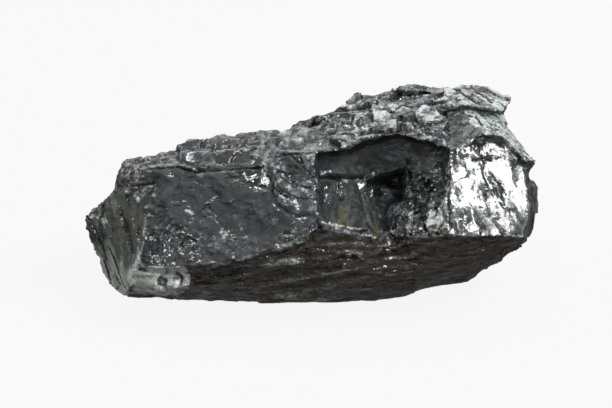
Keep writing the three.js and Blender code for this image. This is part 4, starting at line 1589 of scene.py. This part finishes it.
@dataclass
class Lump:
    """The whole lump: one broken surface over its CAD solid.

    Attributes:
        spacing: mm between surface points on the back.
        bed: mm above the ground over which the surface settles to its flat bed.
        most: the most triangles that the finished surface has.
        crease: degrees, the sharpest turn between triangles that is shown smooth.
    """

    spacing: float = 0.76
    bed: float = 1.2
    most: int = 192_000
    crease: float = 32.0
    piece: bpy.types.Object = field(init=False)
    box: np.ndarray = field(init=False)

    def build(self, finish: CoalFinish) -> bpy.types.Object:
        """Builds, breaks up, paints and dresses the lump.

        Args:
            finish: the coal's finish.

        Returns:
            The finished piece.
        """
        self._copy(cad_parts["coal_lump"])
        self._apply("REMESH", mode="VOXEL", voxel_size=self.spacing / 1000)
        self._apply("SHRINKWRAP", target=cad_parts["coal_lump"], wrap_method="NEAREST_SURFACEPOINT")
        self._apply("SMOOTH", factor=0.5, iterations=1)
        self._ease()
        self._halve_show_side()
        surface = Surface(self.piece.data)
        surface.break_up(self.bed)
        surface.chip()
        self._place(surface.points)
        surface.paint(Wear())
        surface.write_paint(self.piece.data)
        self._thin()
        self._dress(finish)
        return self.piece

    def _copy(self, node: bpy.types.Object) -> None:
        """Copies the CAD solid and merges its loose triangles.

        Args:
            node: the solid.
        """
        corners = np.array([corner[:] for corner in node.bound_box])
        self.box = np.array([corners.min(axis=0), corners.max(axis=0)])
        self.piece = bpy.data.objects.new("coal_lump_surface", node.data.copy())
        bpy.context.scene.collection.objects.link(self.piece)
        bpy.ops.object.select_all(action="DESELECT")
        self.piece.select_set(True)
        bpy.context.view_layer.objects.active = self.piece
        bpy.ops.object.mode_set(mode="EDIT")
        bpy.ops.mesh.select_all(action="SELECT")
        bpy.ops.mesh.remove_doubles(threshold=1e-6)
        bpy.ops.object.mode_set(mode="OBJECT")

    def _apply(self, kind: str, **settings: object) -> None:
        """Adds a modifier to the piece and applies it.

        Args:
            kind: the modifier's type.
            settings: its properties.
        """
        bpy.ops.object.modifier_add(type=kind)
        modifier = self.piece.modifiers[-1]
        for name, value in settings.items():
            setattr(modifier, name, value)
        bpy.ops.object.modifier_apply(modifier=modifier.name)

    def _ease(self) -> None:
        """Smooths the solid's flat triangles away, more on some faces than on others."""
        mesh = self.piece.data
        points, normals, links = places_of(mesh), normals_of(mesh), Links(mesh)
        passes = showing(normals) * sum(face.easing(points) for face in FACES.values())
        loose = ramp(SHOW.to_world(points)[:, 2] * 1000, 0.2, self.bed)
        strength = 0.6  # the part of the way to its neighbours' mean that a point goes in one pass
        for step in range(int(passes.max())):
            pull = strength * loose * np.clip(passes - step, 0, 1)
            points += pull[:, None] * (links.around(points) - points)
        mesh.vertices.foreach_set("co", SHOW.to_world(points).ravel())
        mesh.update()

    def _halve_show_side(self) -> None:
        """Puts the points of the show side twice as close."""
        faces = self.piece.data.polygons
        out = rows_of(faces, "normal") @ SHOW.axes()[2]
        just_past_edge_on = -0.05
        faces.foreach_set("select", out > just_past_edge_on)
        bpy.ops.object.mode_set(mode="EDIT")
        bpy.context.tool_settings.mesh_select_mode = (False, False, True)
        bpy.ops.mesh.subdivide(number_cuts=1)
        bpy.ops.object.mode_set(mode="OBJECT")

    def _place(self, points: np.ndarray) -> None:
        """Puts the points back in the world, inside the CAD solid's box.

        Args:
            points: rows of show points.
        """
        world = np.clip(SHOW.to_world(points), self.box[0], self.box[1])
        self.piece.data.vertices.foreach_set("co", world.ravel())
        self.piece.data.update()

    def _thin(self) -> None:
        """Joins points where the surface is nearly flat, down to the most triangles allowed."""
        triangles = sum(len(face.vertices) - 2 for face in self.piece.data.polygons)
        self._apply("DECIMATE", ratio=min(1.0, self.most / triangles), use_collapse_triangulate=True)
        self._place(places_of(self.piece.data))
        log.info("surface of %d triangles, from %d", len(self.piece.data.polygons), triangles)

    def _dress(self, finish: CoalFinish) -> None:
        """Gives the piece its finish and its place among the CAD nodes.

        Args:
            finish: the coal's finish.
        """
        bpy.ops.object.shade_smooth_by_angle(angle=math.radians(self.crease))
        self.piece.data.materials.clear()
        self.piece.data.materials.append(finish.build())
        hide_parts("coal_lump")
        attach(self.piece, "root")


# ---- The studio ----


@dataclass(frozen=True)
class Softbox:
    """One rectangular studio light.

    Attributes:
        name: its name.
        towards: the world direction from the lump to the light.
        distance: m.
        size: m, width and height.
        glow: how bright its face is.
    """

    name: str
    towards: Point3
    distance: float
    size: Point2
    glow: float

    def build(self) -> None:
        """Hangs the light and aims it at the lump."""
        light = bpy.data.lights.new(self.name, "AREA")
        light.shape = "RECTANGLE"
        light.size, light.size_y = self.size
        light.energy = self.glow * math.pi * self.size[0] * self.size[1]
        lamp = bpy.data.objects.new(self.name, light)
        bpy.context.scene.collection.objects.link(lamp)
        direction = Vector(self.towards).normalized()
        middle = Vector((0, 0, 0.025))  # m, of the lump
        lamp.location = direction * self.distance + middle
        lamp.rotation_mode = "QUATERNION"
        lamp.rotation_quaternion = direction.to_track_quat("Z", "Y")
        lamp.visible_camera = False


@dataclass(frozen=True)
class Glow:
    """A soft, wide patch of light in the air round the lump.

    Attributes:
        towards: the world direction of its middle.
        spread: degrees from its middle to where it fades out.
        strength: how bright its middle is.
        tint: its colour.
    """

    towards: Point3
    spread: float
    strength: float
    tint: Point3 = (1.0, 1.0, 1.0)


@dataclass
class Studio:
    """A pale floor, soft lights and the camera."""

    lights: tuple[Softbox, ...] = (
        Softbox("main_light", (0.592, -0.223, 0.775), 1.2, (0.60, 0.50), 16.0),
    )
    glows: tuple[Glow, ...] = (
        Glow((-0.1, 0.90, 0.40), 26, 2.5, (0.95, 1.0, 0.98)),
        Glow((0.0, 0.30, 0.95), 30, 0.7),
        Glow((-0.60, 0.50, -0.60), 34, 0.45, (0.95, 1.0, 0.95)),
        Glow((-0.97, 0.05, 0.10), 30, 0.45, (1.0, 1.0, 0.86)),
        Glow((-0.78, 0.27, 0.56), 22, 5.0),
        Glow((-0.1, -0.60, 0.80), 44, 0.6, (0.86, 0.93, 1.0)),
        Glow((0.17, -0.20, -0.96), 26, 0.10, (1.0, 0.88, 0.78)),
        Glow((0.1, -0.75, -0.65), 26, 0.40, (1.0, 0.92, 0.84)),
    )
    dim: float = 0.15  # how bright the rest of the air is
    view_width: float = 159.8  # mm across at the lump
    distance: float = 1200.0  # mm from aim to camera
    aim: Point3 = (-1.33, 26.28, 10.0)  # show point in the middle of the view

    def build(self) -> None:
        """Builds the whole studio."""
        self._lay_floor()
        self._set_air()
        for light in self.lights:
            light.build()
        self._set_camera()
        bpy.context.scene.view_settings.view_transform = "Standard"

    @staticmethod
    def _lay_floor() -> None:
        """Lays the pale floor, which glows a little so that shadows on it stay faint."""
        bpy.ops.object.select_all(action="DESELECT")
        bpy.ops.mesh.primitive_plane_add(size=8.0)
        floor = bpy.context.object
        floor.name = "floor"
        material = bpy.data.materials.new("pale_floor")
        graph = Graph(material)
        surface = graph.add("ShaderNodeBsdfPrincipled", {}, {
            "Base Color": (0.035, 0.035, 0.035, 1), "Roughness": 0.9, "Specular IOR Level": 0.0,
            "Emission Color": (1.0, 1.0, 1.0, 1), "Emission Strength": 0.90})
        graph.add("ShaderNodeOutputMaterial", {}, {"Surface": surface})
        floor.data.materials.append(material)
        floor.visible_glossy = False
        floor.visible_diffuse = False
        floor.visible_shadow = False

    def _set_air(self) -> None:
        """Sets what shows past the floor, and the soft light from all round that the coal mirrors."""
        world = bpy.data.worlds.new("air")
        bpy.context.scene.world = world
        graph = Graph(world)
        direction = graph.add("ShaderNodeTexCoord", {}, {}, "Generated")
        light: object = (self.dim,) * 3
        for glow in self.glows:
            along = tuple(Vector(glow.towards).normalized())
            pair = {0: direction, 1: along}
            towards = graph.add("ShaderNodeVectorMath", {"operation": "DOT_PRODUCT"}, pair, "Value")
            level = towards.between(math.cos(math.radians(glow.spread)), 1.0) * glow.strength
            light = graph.vector("ADD", graph.vector("SCALE", glow.tint, scale=level), light)
        soft = graph.add("ShaderNodeBackground", {}, {"Color": light})
        pale = graph.add("ShaderNodeBackground", {}, {"Color": (0.95, 0.95, 0.95, 1)})
        seen = graph.add("ShaderNodeLightPath", {}, {}, "Is Camera Ray")
        mixed = graph.add("ShaderNodeMixShader", {}, {0: seen, 1: soft, 2: pale})
        graph.add("ShaderNodeOutputWorld", {}, {"Surface": mixed})

    def _set_camera(self) -> None:
        """Sets the camera square to the show side."""
        camera = bpy.data.cameras.new("camera")
        camera.sensor_width = 36.0  # mm
        camera.lens = camera.sensor_width * self.distance / self.view_width
        camera.clip_start, camera.clip_end = 0.05, 20.0
        stand = bpy.data.objects.new("camera", camera)
        bpy.context.scene.collection.objects.link(stand)
        across, up, out = self.aim
        stand.location = Vector(SHOW.to_world(np.array([[across, up, out + self.distance]]))[0])
        stand.rotation_euler = (math.radians(90 - SHOW.lean), 0, 0)
        bpy.context.scene.camera = stand


def main() -> None:
    """Builds the lump and its studio, and logs how many points and faces the lump has."""
    logging.basicConfig(level=logging.INFO, format="%(message)s")
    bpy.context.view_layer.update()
    piece = Lump().build(CoalFinish())
    log.info("%s: %d points, %d faces", piece.name, len(piece.data.vertices), len(piece.data.polygons))
    Studio().build()


if __name__ == "__main__":
    main()
